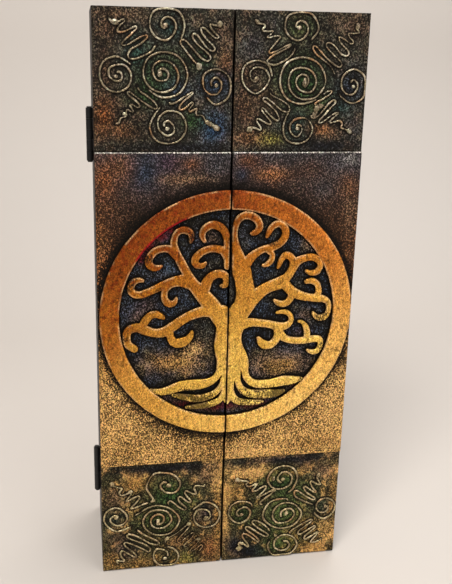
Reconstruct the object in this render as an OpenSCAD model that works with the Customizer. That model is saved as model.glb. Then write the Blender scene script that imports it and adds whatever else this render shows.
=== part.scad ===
// A tall two-door wall or table cabinet. Its doors carry a clay relief: a tree in a ring
// on the centre panels, and square tiles with coiled clay cords above and below them.
// +X is to the right, +Y is to the back and +Z is up. The origin is at the middle of the base.

/* [Cabinet] */
// Width across both doors, which sets the height and the size of the relief
cabinet_w = 200; // [190:5:240]
// Depth from the front of the relief to the back
cabinet_d = 100; // [90:5:160]
// Thickness of the side, top and bottom boards
board_t = 12; // [12:1:16]
// Thickness of the back panel
back_t = 5; // [3:1:8]
// Thickness of each shelf
shelf_t = 8; // [6:1:12]
// Distance of the shelves behind the front edge of the sides
shelf_setback = 5; // [3:1:20]

/* [Doors] */
// Thickness of each door board
door_board_t = 9; // [9:1:14]
// Thickness of the clay tiles
tile_t = 6; // [4:0.5:8]
// How far the centre panels stand proud of the tiles
panel_step = 1.5; // [0.5:0.5:3]
// Gap between the two doors
seam_gap = 1.3; // [1:0.1:3]
// Gap between the doors and the carcass
door_gap = 0.6; // [0.6:0.1:1]
// Clearance above and below the doors
door_end_gap = 0.5; // [0.5:0.5:3]

/* [Relief] */
// Height of the ring and the tree above the centre panels
relief_h = 3; // [1.5:0.5:5]
// Outer radius of the ring
ring_outer_r = 98.5; // [94:0.5:99]
// Inner radius of the ring
ring_inner_r = 84.5; // [84.5:0.5:88]
// Width of a clay cord
cord_w = 1.8; // [1.4:0.1:2]
// Height of a clay cord above its tile
cord_h = 1.3; // [0.8:0.1:1.5]

/* [Hinges] */
// Length of each hinge
hinge_l = 38; // [30:1:50]
// Width of each leaf, from the pin's axis to its free edge
leaf_w = 12.7; // [12.2:0.1:13]
// Thickness of each leaf
leaf_t = 1; // [0.8:0.1:1.2]
// Outer radius of the knuckles
knuckle_r = 2.4; // [2:0.1:2.4]
// Radius of the hinge pin
pin_r = 1; // [0.8:0.1:1.2]
// Shank radius of the hinge screws
screw_r = 1; // [0.8:0.1:1.2]

/* [Catch] */
// Length of the magnetic catch
catch_l = 52; // [48:1:60]
// Depth of the catch
catch_d = 12; // [10:1:16]
// Height of the catch
catch_h = 10; // [9:1:14]

/* [Hidden] */
$fn = 48;
// The relief is drawn for a cabinet 200 wide, and follows the real width.
art = cabinet_w / 200;
cabinet_h = 450 * art;
tile_w = cabinet_w / 2;
lower_tile_top = 98 * art;
upper_tile_bottom = cabinet_h - tile_w;
ring_z = 223.3 * art;
// Height of the ring for which the tree's lists of points are written
tree_list_z = 222;
back_y = cabinet_d / 2;
relief_y = -cabinet_d / 2;
panel_y = relief_y + relief_h;
tile_y = panel_y + panel_step;
board_y = tile_y + tile_t;
door_back_y = board_y + door_board_t;
carcass_y = door_back_y + door_gap;
side_inner_x = cabinet_w / 2 - board_t;
carcass_d = back_y - back_t - carcass_y;
door_x = seam_gap / 2;
door_w = cabinet_w / 2 - door_x;
shelf_zs = [152 * art, 292 * art];
// The tree stops short of the ring by this much.
tree_clear = 0.2;
// Facets round the ring
ring_fn = 128;
// How far a cutting shape reaches past the face it opens
over = 1;
// Steps that a smooth stroke takes between two of its points
cord_steps = 2;
branch_steps = 4;
// Turn between two radii in a spiral's list, in degrees
spiral_turn = 45;
// Width of a stroke's round end, as a part of the stroke's width there
end_part = 0.97;
// A link is a little narrower than the beads at its ends.
link_w = 0.96 * cord_w;
// How far a stroke's side may reach towards the middle of a turn, as a part of its radius
tight_turn = 0.6;
least_bend = 0.01;

// Hinges: the pins stand beside the cabinet, level with the gap behind the doors.
hinge_side_gap = 2.7;
hinge_x = cabinet_w / 2 + hinge_side_gap;
hinge_y = door_back_y + door_gap / 2;
hinge_zs = [89 * art, 361 * art];
knuckle_count = 5;
knuckle_gap = 0.2;
knuckle_pitch = (hinge_l + knuckle_gap) / knuckle_count;
knuckle_l = knuckle_pitch - knuckle_gap;
leaf_gap = 0.3;
leaf_outer_x = cabinet_w / 2;
leaf_recess = leaf_t + leaf_gap / 2 - door_gap / 2;
pin_clear = 0.05;
pin_head_r = 1.7;
pin_head_h = 1;
screw_head_r = 2 * screw_r;
screw_l = 7;
screw_clear = 0.02;
screw_to_pin = 7.7;
screw_x = hinge_x - screw_to_pin;
screw_zs = [-12, 12];

// Catch: a block under the top board, two magnets in it, and a steel plate on each door
catch_z = cabinet_h - board_t - catch_h;
magnet_x = 12;
magnet_size = [12, 6, 5];
magnet_proud = 0.2;
strike_size = [12, 1, 6];
strike_z = catch_z + catch_h / 2;
strike_screw_r = 0.9;
strike_screw_l = 5;
catch_screw_to_end = 4.5;
catch_screw_x = catch_l / 2 - catch_screw_to_end;
catch_screw_r = 1.25;
catch_screw_into_board = 7;
catch_head_h = 1.2;

// A spiral is [centre, angle of its outer end, turn per radius, radii from the outside in,
// the points of its outer tail]. Places are [x, z] on the door.
TOP_LEFT_CENTRE = [
    [[-51.7, 404.2], 225, spiral_turn,
     [14.2, 15.6, 17.7, 18.3, 17.2, 15.4, 14.5, 13, 12.1, 12.1, 12.5, 11.8, 10.5, 9.6, 8.3, 5.9,
      4.9, 4.2, 4.7, 4.8, 4.4, 4.1, 3.2, 1.3], []]
];
TOP_LEFT_OUTER = [
    [[-48.5, 437.6], 315, spiral_turn,
     [14, 12.6, 12.5, 11, 12.5, 11.6, 10.9, 10, 7.4, 6.6, 6.1, 5.3, 4.3, 3.8, 2.6, 1], []],
    [[-83.5, 403.1], 45, spiral_turn,
     [12.4, 13, 12.9, 11.5, 11.1, 11.1, 10.9, 10.4, 9.4, 7.3, 6.8, 5, 3.7, 3.7, 4.3, 3.9, 3.7,
      2.2], [[-74.4, 410]]],
    [[-12.8, 396.4], 225, spiral_turn,
     [10.1, 12.5, 11.6, 10.8, 11.6, 12.2, 12.1, 9.1, 7, 5.4, 4.2, 3.9, 4.9, 6.4, 5, 3], []],
    [[-47.1, 367.8], 135, spiral_turn,
     [13.1, 13.2, 12.6, 11.8, 12.6, 13.2, 13, 11.3, 9.3, 7.1, 5.9, 6.1, 5.6, 4.3, 3.7, 4.3, 4,
      2.6], [[-52.4, 382.4], [-54.9, 378.9]]]
];
TOP_RIGHT_CENTRE = [
    [[50.8, 400.6], 315, -spiral_turn,
     [17.4, 15.7, 16.4, 16.8, 17.9, 17.1, 17.2, 17.5, 15.2, 12.3, 10.9, 10.4, 11, 9.8, 9.9, 10.4,
      9.9, 6.6, 5.2, 4.9, 4.8, 5.2, 5.1, 4.4, 3.9, 2], []]
];
TOP_RIGHT_OUTER = [
    [[46.5, 437.4], 315, spiral_turn,
     [12, 14.3, 13.4, 11.1, 11.9, 10.4, 8.6, 8.1, 7.1, 6.6, 6, 5.1, 3.4, 1.4], []],
    [[16.1, 403.1], 0, spiral_turn,
     [12.2, 12.5, 11.8, 11.6, 10.2, 9.9, 11.2, 9.9, 10, 8.6, 7.1, 5.8, 3.9, 3.2, 2.8, 1.5], []],
    [[89.4, 397.4], 225, spiral_turn,
     [11.1, 11.8, 11.4, 9.2, 11.3, 12.6, 11.1, 8.8, 7, 5.4, 3.9, 3.6, 4.2, 5.1, 3.6],
     [[78.9, 393.1]]],
    [[48.6, 366.7], 135, spiral_turn,
     [12.4, 10.7, 11.1, 10.7, 11.4, 11.6, 10.2, 7.6, 6.5, 5.7, 5.3, 5.7, 4, 3.6, 3.4, 2.9, 1.2],
     [[41.9, 378.9]]]
];
BOTTOM_LEFT_CENTRE = [
    [[-54.2, 44.9], 90, -spiral_turn,
     [14.6, 14.9, 18, 16.4, 13.4, 12.1, 12.4, 11.6, 10.4, 11.1, 11.3, 8.7, 6.8, 6.3, 5.9, 6, 6.3,
      6.1, 5, 3.8, 3.2, 1.8], [[-73.5, 51.7], [-68.9, 54.2], [-62.4, 57.9]]]
];
BOTTOM_LEFT_OUTER = [
    [[-46.7, 78.1], 180, -spiral_turn,
     [16.8, 15.2, 10.9, 10.3, 10.9, 10.1, 7.1, 5.7, 5.4, 3.8, 1.8],
     [[-57.8, 63.9], [-58.9, 67.4], [-61, 71]]],
    [[-87.7, 49.6], 315, -spiral_turn,
     [12.9, 11.4, 9.9, 10.6, 11.3, 10.6, 8.4, 8.3, 6.9, 5.9, 5.4, 5.7, 4.2, 3, 2],
     [[-76.4, 42.1]]],
    [[-14.6, 46], 135, -spiral_turn,
     [12.1, 13.2, 12.4, 12.5, 12.1, 10.7, 9.9, 9.5, 8.9, 6.1, 4.9, 4.4, 4.1, 3.6, 2],
     [[-25.1, 51.9]]],
    [[-47.4, 10], 90, -spiral_turn,
     [10.1, 9.6, 10.7, 10.6, 8.4, 9.3, 10.4, 11.2, 5.7, 2.4, 1], []]
];
BOTTOM_RIGHT_CENTRE = [
    [[54, 41], 90, spiral_turn,
     [15.6, 18.8, 19, 14.5, 13, 13.8, 15, 12.6, 11.6, 11.1, 10.4, 9.6, 7.6, 7.8, 8.7, 7.7, 5,
      4.1, 3.2, 3.3], [[56.8, 53.6]]]
];
BOTTOM_RIGHT_OUTER = [
    [[50.4, 76.4], 315, spiral_turn,
     [14.3, 13.2, 12.6, 11.5, 11.6, 12.5, 11.5, 10.1, 9.6, 8.6, 7.1, 5.7, 4, 3.9, 3.8, 4.2],
     [[55.8, 61.9]]],
    [[15.1, 46.4], 45, spiral_turn,
     [12.1, 10.9, 10.6, 9.6, 9.1, 10, 9.5, 9.1, 6.9, 3.7, 2.9, 2.6, 2.9, 3.4], [[25.9, 50.6]]],
    [[89.4, 45.3], 225, spiral_turn,
     [10.1, 11.1, 9.6, 9.2, 8.8, 8.8, 8.4, 7.5, 6.1, 4.9, 3.6, 2.7, 2.2], [[80.4, 41.6]]],
    [[53.6, 10.8], 180, spiral_turn,
     [13, 11.8, 9, 11.4, 12.9, 11.6, 10.4, 9.1, 7.3, 5.5, 4.9, 5.4, 6.1, 5.3, 4.2],
     [[42.6, 17]]]
];

// A squiggle is a list of [x, z] points on the door, from one end to the other.
TOP_LEFT_SQUIGGLES = [
    [[-88.5, 442.1], [-86.2, 438.9], [-84.9, 438], [-81.4, 439.2], [-78, 441], [-77.8, 439.2],
     [-80.6, 436.7], [-82.3, 433.9], [-81.4, 432.3], [-76.7, 433.1], [-72.4, 435.4],
     [-69.8, 436.3], [-69.6, 434.6], [-73.9, 430.3], [-78.9, 425.6], [-79.2, 423.9],
     [-76, 423.9], [-70.3, 427.1], [-65.3, 429.9], [-61.9, 430.4], [-62.4, 428.5],
     [-67.4, 424.2], [-72.8, 421.4], [-75.1, 417.8], [-74.4, 415], [-70.3, 414.7],
     [-63.9, 417.1], [-58.9, 419.9], [-57.1, 422.4], [-55.4, 424.6]],
    [[-11.1, 441.4], [-10.4, 438.6], [-14.2, 438.1], [-17.8, 438.7], [-16.7, 435.6],
     [-13.5, 432.3], [-11.6, 430.4], [-13.5, 429.6], [-17.4, 432.3], [-21, 435.6],
     [-23.9, 436.4], [-24, 433.9], [-20.6, 429.2], [-15.6, 424.6], [-14.2, 422.1],
     [-16, 420.9], [-19.6, 422.8], [-23.5, 427.4], [-27.1, 431.4], [-29.4, 432.3],
     [-30.1, 429.9], [-26.7, 425.3], [-21.7, 421.4], [-17.8, 417.8], [-17.3, 415.3],
     [-19.9, 414.1], [-24.6, 416.7], [-30.3, 422.8], [-34.6, 427.1], [-37.6, 428.1],
     [-38.7, 426], [-35.3, 421.4], [-30.3, 415.3], [-25.6, 410.4]],
    [[-85.1, 370.1], [-82.3, 370.6], [-81, 373.5], [-78.9, 374.7], [-76.8, 375.6],
     [-77.1, 378.1], [-76.2, 379.9], [-73.9, 378.9], [-71.8, 378.3], [-72.8, 380.6],
     [-74.2, 383], [-72.4, 383.3], [-69, 381.4], [-67.3, 382.6], [-69.9, 386], [-74.2, 389.2],
     [-75.9, 391.4], [-74.2, 392.1], [-68.9, 388.1], [-62.4, 383.5], [-57, 380.7],
     [-54.9, 381.3], [-56.4, 384.6], [-61.7, 389.2], [-67.1, 392.8], [-69.2, 396.4]],
    [[-46.6, 385.6], [-44.9, 384.1], [-41, 385.4], [-35.6, 389], [-29.9, 392.2],
     [-30.6, 390.3], [-35.6, 386.4], [-39, 382.1], [-38.1, 379.9], [-34.6, 381.4],
     [-31, 384.7], [-29.4, 385.4], [-29.6, 383.5], [-32.1, 380.3], [-31.2, 378.7],
     [-28.9, 379.9], [-26.5, 380.9], [-27.1, 378.1], [-26.2, 376.3], [-22.5, 376],
     [-20.6, 373.5], [-18.9, 371.9], [-15.3, 370.3], [-10.3, 366.5]]
];
TOP_RIGHT_SQUIGGLES = [
    [[14.4, 442.6], [15.8, 440.3], [20.2, 439.9], [21.5, 438.3], [19.8, 436.4], [20.6, 435.2],
     [24, 435.1], [27.5, 435.3], [25.8, 433], [23, 430.9], [25.4, 431], [29.7, 432],
     [32.9, 431.6], [31.1, 428.9], [27.2, 424.2], [25.1, 421.4], [26, 420.1], [30.4, 421.6],
     [36.1, 424.6], [40.8, 426.5], [39.4, 424.6], [32.6, 420.9], [27.2, 418], [24.1, 414.9],
     [25.6, 412.8], [30.4, 412.3], [36.9, 415.3], [42.2, 419.6], [44.4, 424.9]],
    [[90.1, 441], [89.6, 438.1], [91.3, 435.8], [87.6, 434.9], [83.5, 434.9], [84.4, 432.3],
     [87, 429.8], [87.2, 428.2], [85.1, 428], [80.8, 430.6], [77.8, 432.2], [76.3, 431.6],
     [78.3, 427.8], [83.3, 423.5], [84.5, 420.8], [82.6, 419.2], [78.3, 421], [74, 425.6],
     [70.1, 428.1], [67.4, 427.6], [67.9, 424.9], [72.6, 420.3], [78.3, 415.6], [79.7, 412.8],
     [77.9, 411.3], [73.3, 413.5], [66.9, 418.5], [61.9, 423.5], [58.9, 425.8], [57.4, 424.4],
     [59.7, 420.6], [65.4, 416.4], [71.1, 411.9], [75.1, 405.9]],
    [[11.9, 364.9], [13.3, 367.6], [17.2, 367.1], [20.6, 365.8], [21.1, 367.4],
     [18.3, 371.4], [17.4, 373.4], [19.7, 373.7], [24, 371.4], [27.4, 370], [28.5, 371.4],
     [25.8, 374.9], [21.9, 379.2], [21, 381.3], [22.6, 381.5], [26.9, 377.1], [31.1, 373.7],
     [33.7, 372.7], [34.5, 374.4], [31.9, 379.2], [26.5, 384.2], [22.4, 387.1],
     [22.4, 388.7], [24.7, 388.8], [29.7, 385.3], [35.4, 380.6], [40.2, 378.9], [42, 379.9],
     [41.1, 383.5], [36.1, 387.1], [30.4, 389.7], [27.6, 391.4], [26.7, 393.5]],
    [[90.1, 363.7], [86.5, 366.1], [82.2, 367.8], [82.9, 370.3], [81.1, 372.8], [77.2, 372.1],
     [73.5, 371.2], [74.4, 373.5], [78.3, 377.1], [79.8, 378.6], [77.2, 378.3], [72.6, 375.6],
     [68.6, 372.3], [65.3, 371.1], [65, 372.8], [68.3, 376.4], [72.9, 381.7], [76.7, 386],
     [75.6, 387.6], [72.9, 386.4], [68.6, 381.4], [64.7, 376.9], [61, 374.6], [58.8, 376],
     [62.8, 378.6], [61.3, 381.2], [65, 382.6], [61.2, 384.8], [63.3, 386.6], [67.6, 388.9],
     [72.6, 392.4], [73.1, 394.4], [69.7, 393.7], [66.4, 391.3]]
];
BOTTOM_LEFT_SQUIGGLES = [
    [[-92.4, 83.9], [-90.6, 81], [-86.7, 78.9], [-83.5, 77.8], [-84.9, 75.6], [-85.6, 73.1],
     [-83.5, 71.3], [-79.6, 72.4], [-76.6, 74.2], [-76.1, 72.4], [-78.1, 68.9],
     [-80.3, 65.4], [-76.4, 66.9], [-72.4, 69], [-69.8, 69.5], [-69.4, 67.1], [-73.1, 62.8],
     [-76.4, 58.6], [-73.1, 58.9], [-67.4, 61.2], [-61.7, 63]],
    [[-14.9, 76.4], [-16.4, 74.6], [-19.6, 75.1], [-23.1, 75.4], [-24.2, 73.1],
     [-23.1, 70.3], [-22.8, 67.8], [-25.6, 68.2], [-28.9, 70.3], [-30.9, 71.3],
     [-31.9, 69.2], [-29.6, 65.3], [-26.9, 61.6], [-28.1, 60.1], [-31.7, 62.6],
     [-35.3, 66.1], [-37.4, 64.9], [-36.4, 61.4], [-32.1, 57.1], [-30.7, 54.8],
     [-32.4, 53.6], [-36.7, 56.4], [-40.6, 60.3], [-43.9, 62.9], [-45.8, 61.4],
     [-44.9, 59]],
    [[-71.4, 38.1], [-67.4, 34.2], [-61.7, 30.3], [-56, 26.7], [-53.2, 23.9], [-54.9, 22.4],
     [-60.3, 23.9], [-66.7, 28.5], [-72.4, 32.4], [-77.4, 34.5], [-79.9, 33.3],
     [-78.1, 30.6], [-71, 26.7], [-64.6, 23.1], [-60.6, 19.2], [-61.9, 16.2],
     [-66.7, 19.2], [-73.9, 23.7], [-80.3, 26.9], [-82.3, 26], [-81, 23.1], [-76, 18.1],
     [-72.4, 13.7], [-73.5, 12.2], [-78.1, 15.3], [-82.9, 18.9], [-85.2, 17.9],
     [-84.9, 13.9], [-82.1, 9.4], [-85.3, 9.5], [-88.5, 10.2], [-87.2, 6.6]],
    [[-48.5, 22.5], [-47.5, 26.2], [-45, 28.2], [-38, 32], [-32, 37], [-28.8, 39.6],
     [-27.3, 38], [-31, 33], [-36, 27.4], [-37.6, 24], [-35.6, 22.8], [-30, 27],
     [-25.4, 30.8], [-23.6, 29.4], [-27, 24.8], [-31.5, 20.4], [-32, 18.2], [-29.6, 18.4],
     [-25, 21.8], [-21, 24.6], [-19.4, 23.4], [-22.4, 19], [-26.6, 14.8], [-26, 13],
     [-22, 15], [-18, 18.2], [-16.2, 17.2], [-18, 14.2], [-20, 11.8]]
];
BOTTOM_RIGHT_SQUIGGLES = [
    [[11.7, 78], [16.5, 76.7], [21.6, 75.6], [20, 73.9], [20, 71.9], [22.2, 70.8],
     [25.8, 71.9], [28.2, 72.8], [27.6, 70.3], [25.4, 67.8], [25.6, 65.9], [29, 66.7],
     [33.3, 69.4], [36.3, 70], [36.6, 67.8], [34, 64.6], [30.6, 60.8], [34.7, 61.9],
     [39, 64], [42.4, 65.2], [41.7, 62.4], [36.9, 58.9], [32.6, 55.3], [32.9, 52.9],
     [35, 53.6]],
    [[82.2, 77.1], [81.1, 74.2], [82.9, 70.6], [84.3, 67.8], [81.1, 68.5], [78.3, 70.3],
     [76.2, 71.6], [75.5, 69.6], [77.9, 64.9], [80.8, 61], [79, 60.9], [74, 64.8],
     [70.6, 67], [69.9, 65.3], [72.6, 61], [77.2, 57.4], [80.5, 54.6], [78.3, 53.6],
     [72.6, 56.9], [67.6, 61], [63.8, 63.5], [61.6, 62.1], [62.9, 58.1], [67.6, 54.6],
     [73.3, 51.4], [79.4, 48.8]],
    [[16.1, 8.9], [13.1, 12.1], [17.8, 11.6], [15, 15.4], [16, 17.4], [19.7, 15.3],
     [23.2, 12.5], [22.7, 15.3], [19.4, 20.3], [17.7, 23.9], [19.4, 25.7], [23.6, 23.5],
     [28.3, 19.4], [31.7, 16.4], [32.2, 18.5], [28.6, 22.8], [23.3, 27.4], [20.4, 30.6],
     [21.9, 32.4], [26.9, 29.2], [32.6, 24.6], [38.3, 21.3], [40.8, 22.5], [38.3, 24.9],
     [32.6, 29.2], [27.2, 34.2], [26, 36.8], [28.3, 37.8], [33.3, 35.3], [39, 30.3],
     [42.4, 25.4]],
    [[59.4, 21.6], [60.6, 24.6], [65.4, 27.8], [71.9, 31.7], [77.6, 34.3], [78.8, 32.8],
     [74, 28.9], [68.3, 24.7], [66.9, 21.6], [69.4, 20.6], [74.7, 23.9], [80.8, 27.5],
     [81.9, 26], [77.6, 22.1], [73, 17.8], [73.7, 15.1], [78.3, 17.4], [83.7, 21.1],
     [84.4, 19.9], [81.1, 15.5], [78.9, 11.8], [83.3, 11.6], [88, 13.9], [88.3, 12.6]]
];

// Half of the trunk, counter-clockwise from the seam and back to it
LEFT_TRUNK = [
    [1, 228.5], [-5, 231], [-12, 228], [-13, 222.5], [-10.5, 218], [-9, 213], [-9.2, 207],
    [-10.2, 200], [-9.8, 194], [-8.3, 187], [-7.3, 181], [-4.5, 176], [-2.6, 165], [-2.4, 153],
    [1, 146]
];
RIGHT_TRUNK = [
    [-1, 146], [4.5, 153], [5.5, 165], [9, 176], [16.5, 178], [17, 184], [15.5, 189.5],
    [12.5, 195.5], [10.8, 201], [10.7, 206], [11.8, 210], [13, 216], [6, 232], [3, 229],
    [-1, 227.5]
];
// A branch or a root is a list of [x, z, width] along its middle.
LEFT_BRANCHES = [
    [[-4, 214, 9], [-8.5, 224, 12], [-15.5, 234, 12], [-23, 243, 10], [-29, 250.5, 8],
     [-33.5, 259, 6.5], [-38.5, 269, 6], [-42.3, 278, 5], [-42.5, 284, 4.2],
     [-40, 289.5, 4.2], [-35, 291.3, 4.8], [-30.5, 289, 4.5], [-29.5, 284.5, 3.5],
     [-30.3, 281.8, 1.5]],
    [[-33, 254, 6], [-40, 252.5, 6], [-47, 250.3, 5.8], [-55, 246.8, 5.2], [-62, 243.7, 5],
     [-68.5, 241.8, 5], [-73.5, 243.3, 5], [-75, 247.5, 4.8], [-73, 252, 4.4],
     [-69, 253.4, 3.2], [-66, 253, 2]],
    [[-30, 247.5, 5], [-37, 250, 4.5], [-44, 249.5, 4.5], [-48.7, 245.5, 4.2],
     [-49.8, 240, 4.2], [-48.2, 235.5, 4.8], [-45, 233.8, 4.6], [-42, 235, 3.6],
     [-40.6, 238, 1.8]],
    [[-40, 271, 6], [-45, 276.3, 5.5], [-51, 277.3, 4.8], [-57, 275.3, 4.8], [-61, 270.5, 5],
     [-61.3, 266, 5], [-58.5, 263, 4.6], [-55, 262.6, 3.6], [-52, 263.8, 1.6]],
    [[-2, 262, 4], [-2, 272, 4.5], [-2.4, 282, 4.6], [-4.5, 289.5, 5.2], [-9.5, 294, 5.4],
     [-15, 294.6, 5.4], [-20, 291.3, 4.8], [-21.4, 286.3, 3.8], [-19.3, 282.3, 2]],
    [[-1.5, 270, 7], [-6, 275, 5.5], [-14, 276.5, 4.8], [-21, 274.3, 4.8], [-25.8, 270, 5],
     [-26.6, 266, 5], [-24.3, 263.5, 4.4], [-20.8, 263.5, 3.2], [-18.3, 265.5, 1.6]],
    [[-20, 240, 7], [-18.5, 247, 8], [-15, 253.5, 6], [-9.5, 256.6, 5.6], [-4, 255.6, 5.4],
     [-1.9, 251.5, 4.6], [-3.3, 247.6, 4], [-6, 246.8, 2.2]],
    [[-8, 226, 11], [-17, 227, 8.5], [-26, 225.3, 7], [-34, 221.7, 6.5], [-42, 216.3, 6.8],
     [-50, 211.3, 7], [-58, 211, 6], [-65, 213.8, 7], [-71, 215.7, 6.2], [-77, 213.5, 5.6],
     [-78.7, 208, 5.4], [-77.3, 202, 5.4], [-72.5, 198.3, 4.8]],
    [[-67, 215.5, 5], [-64, 221, 5.5], [-60.3, 225, 5], [-56, 225.8, 5], [-52.5, 224.3, 4],
     [-50.2, 222.8, 2]],
    [[-46, 213, 6], [-45, 207, 5.2], [-42.3, 202.6, 6], [-37.5, 201.8, 7], [-32, 204, 5.5],
     [-29, 208, 3.5], [-28.2, 210.5, 1.8]],
    [[-5.5, 182, 5], [-6.5, 175, 4.5], [-10.5, 169.8, 5], [-17, 166.8, 6.5], [-27, 166, 8],
     [-37, 165.3, 7.5], [-46, 162.5, 6], [-53, 161.5, 4.5], [-60, 163, 2.5]],
    [[-3.2, 170, 2.5], [-4.3, 164.5, 3], [-8, 159, 4], [-14, 155.7, 5], [-22, 154, 5.5],
     [-30, 155, 5], [-38, 157, 3.5], [-43, 158, 1.5]],
    [[-1.5, 165, 2.5], [-2.3, 157, 3.5], [-6, 151.3, 4], [-14, 148.3, 4.5], [-24, 147, 3.5],
     [-32, 147, 1.5]]
];
RIGHT_BRANCHES = [
    [[6.5, 212, 10.5], [8.5, 225, 12], [12.5, 235, 14], [13, 242, 14], [11.5, 250, 13],
     [9.6, 258, 14], [8, 264, 12], [6.5, 270, 9], [5, 276, 6], [3.8, 283, 4],
     [3.5, 290, 3.4], [5, 297, 4.4], [9, 301, 5], [14.5, 301.5, 5.4], [20, 298.3, 5.4],
     [22.3, 293.3, 5], [20.6, 289.4, 4.2], [17.5, 287.7, 3], [15.8, 287.5, 1.6]],
    [[12, 263, 8], [17.5, 270, 6], [25, 274.8, 4.6], [31, 276, 5.5], [38.5, 279.3, 5],
     [42.6, 285, 5], [42, 291, 5], [37.7, 294.7, 4.8], [33, 293.3, 4.4], [30, 289, 3.6],
     [28.3, 285, 2]],
    [[30, 274, 4], [33, 270.5, 3.6], [32.2, 266, 3.8], [29, 263, 3.2], [26, 262.2, 1.8]],
    [[9, 226, 16], [18, 235, 11], [26, 242, 8.5], [34, 246, 8.3], [40, 248, 9],
     [46, 253, 6], [49.5, 259, 5.5]],
    [[49, 258, 5], [50, 264, 5], [47.5, 268.7, 5], [43.5, 270, 4.6], [40.6, 267, 3.6],
     [38.7, 262, 2.4], [38, 260, 1.4]],
    [[48.5, 256.5, 5], [52.5, 264, 6], [58, 267, 5], [64.5, 268, 4.8], [70, 265.3, 4.6],
     [71.7, 260.5, 3.8], [69, 256, 4], [64.5, 255.2, 3.4], [60.5, 256.8, 2]],
    [[44, 247, 7], [49, 241.5, 7], [56, 237.5, 6.5], [63, 235.5, 5.5], [70, 234.5, 5.5],
     [76, 233.6, 4.8], [79.8, 230.5, 3.8], [80.4, 225, 3], [78.6, 219.8, 4.2],
     [74.3, 218, 4.6], [70.3, 219.5, 3.4], [68, 222.5, 1.6]],
    [[70.5, 235.5, 5], [71.5, 241, 4], [69.7, 246.3, 4], [65.5, 248.8, 4.2],
     [61.3, 248.2, 3]],
    [[44, 245, 5], [48.8, 240, 4.5], [49.2, 235.5, 4.5], [46, 231.5, 4.4],
     [41.5, 230.8, 4.4], [38, 232.4, 3.4], [36.2, 234, 1.6]],
    [[8, 214.5, 9.5], [17, 216.3, 6.5], [26, 215.5, 5.5], [34, 214, 5.5], [41, 211.8, 6.5],
     [46.5, 212.7, 5], [50, 216, 3.6], [49.8, 220.5, 3.4], [46.5, 223.6, 3.2],
     [42, 224.2, 2.4], [38.5, 223.6, 1.4]],
    [[37, 213, 5], [39.7, 207.5, 4.6], [39, 201.5, 5], [35.3, 197.6, 5.4], [31, 196.8, 6],
     [27, 199, 5.6], [24.6, 203, 2.4]],
    [[41, 210, 6], [43, 204.5, 6], [48, 201, 4.8], [55, 199.6, 4.8], [62, 199.6, 5],
     [69, 200.5, 5], [74.5, 199.8, 4.4], [75.6, 195, 3.4], [73.5, 190.3, 3.6],
     [69, 189.3, 3.2], [65, 191, 1.6]],
    [[64, 201, 4.5], [64, 206.5, 4.4], [62.3, 211.5, 3.6], [59.3, 215, 2], [56.5, 215.7, 1.2]],
    [[13.5, 184, 7], [14.5, 176, 5], [16.5, 169.5, 5], [21.5, 165, 5.5], [28, 163.6, 6],
     [37, 164, 6.5], [46, 165.5, 7.5], [54, 165.7, 6], [61, 166.5, 2.5]],
    [[8.5, 176, 4.5], [9, 168, 4], [12, 160.5, 5], [18, 156.3, 6], [26, 155, 6.5],
     [34, 154.8, 7], [41, 155, 5], [47, 157, 2]],
    [[3.5, 166, 4], [4, 157, 5], [8, 150.8, 5], [15, 148.6, 4.5], [24, 148, 3.5],
     [30, 148.5, 1.5]]
];

// Smooth curve through p, with n steps between each two of its points
function blend(a, b, c, d, t) =
    (2 * b + (c - a) * t + (2 * a - 5 * b + 4 * c - d) * t * t
     + (3 * b - a - 3 * c + d) * t * t * t) / 2;
function smooth(p, n) = [
    for (i = [0:len(p) - 2], k = [0:n - 1])
        blend(p[max(i - 1, 0)], p[i], p[i + 1], p[min(i + 2, len(p) - 1)], k / n),
    p[len(p) - 1]
];
function across(p, i) =
    let (d = p[min(i + 1, len(p) - 1)] - p[max(i - 1, 0)])
    [-d.y, d.x] / norm([d.x, d.y]);
// How sharply the path turns to the left at point i, per unit of its length
function bend(p, i) =
    let (a = p[max(i - 1, 0)], b = p[i], c = p[min(i + 1, len(p) - 1)])
    let (u = [b.x - a.x, b.y - a.y], v = [c.x - b.x, c.y - b.y])
    norm(u) * norm(v) == 0 ? 0 : 2 * cross(u, v) / (norm(u) * norm(v) * (norm(u) + norm(v)));
// One side of a stroke, drawn in where it would reach past the middle of a tight turn
function stroke_side(p, sign) = [
    for (i = [0:len(p) - 1])
        let (inward = sign * bend(p, i) * p[i].z / 2)
        [p[i].x, p[i].y] + sign * p[i].z / 2 * min(1, tight_turn / max(inward, least_bend)) * across(p, i)
];
function reverse(p) = [for (i = [len(p) - 1:-1:0]) p[i]];
function spiral_points(s) = concat(s[4], [
    for (i = [0:len(s[3]) - 1]) s[0] + s[3][i] * [cos(s[1] + i * s[2]), sin(s[1] + i * s[2])]
]);

// A flat stroke along rows of [x, z, width], with round ends
module stroke(rows, steps) {
    path = smooth(art * rows, steps);
    polygon(concat(stroke_side(path, -1), reverse(stroke_side(path, 1))));
    for (p = [path[0], path[len(path) - 1]])
        translate([p.x, p.y])
            circle(d = end_part * p.z);
}

module spirals(list) {
    for (s = list)
        stroke([for (p = spiral_points(s)) [p.x, p.y, cord_w / art]], cord_steps);
}

// A cord that turns too sharply for a stroke: straight links between round beads
module link_chain(route) {
    for (i = [0:len(route) - 1])
        translate(art * route[i])
            circle(d = cord_w);
    for (i = [0:len(route) - 2])
        let (along = art * (route[i + 1] - route[i]))
            translate(art * route[i])
                rotate(atan2(along.y, along.x))
                    translate([0, -link_w / 2])
                        square([norm(along), link_w]);
}

// Stands a flat outline up on the doors, from the plane y = base towards the front
module stand(base, h) {
    translate([0, base, 0])
        rotate([90, 0, 0])
            linear_extrude(h)
                children();
}

module box(low, high) {
    translate(low)
        cube(high - low);
}

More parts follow.
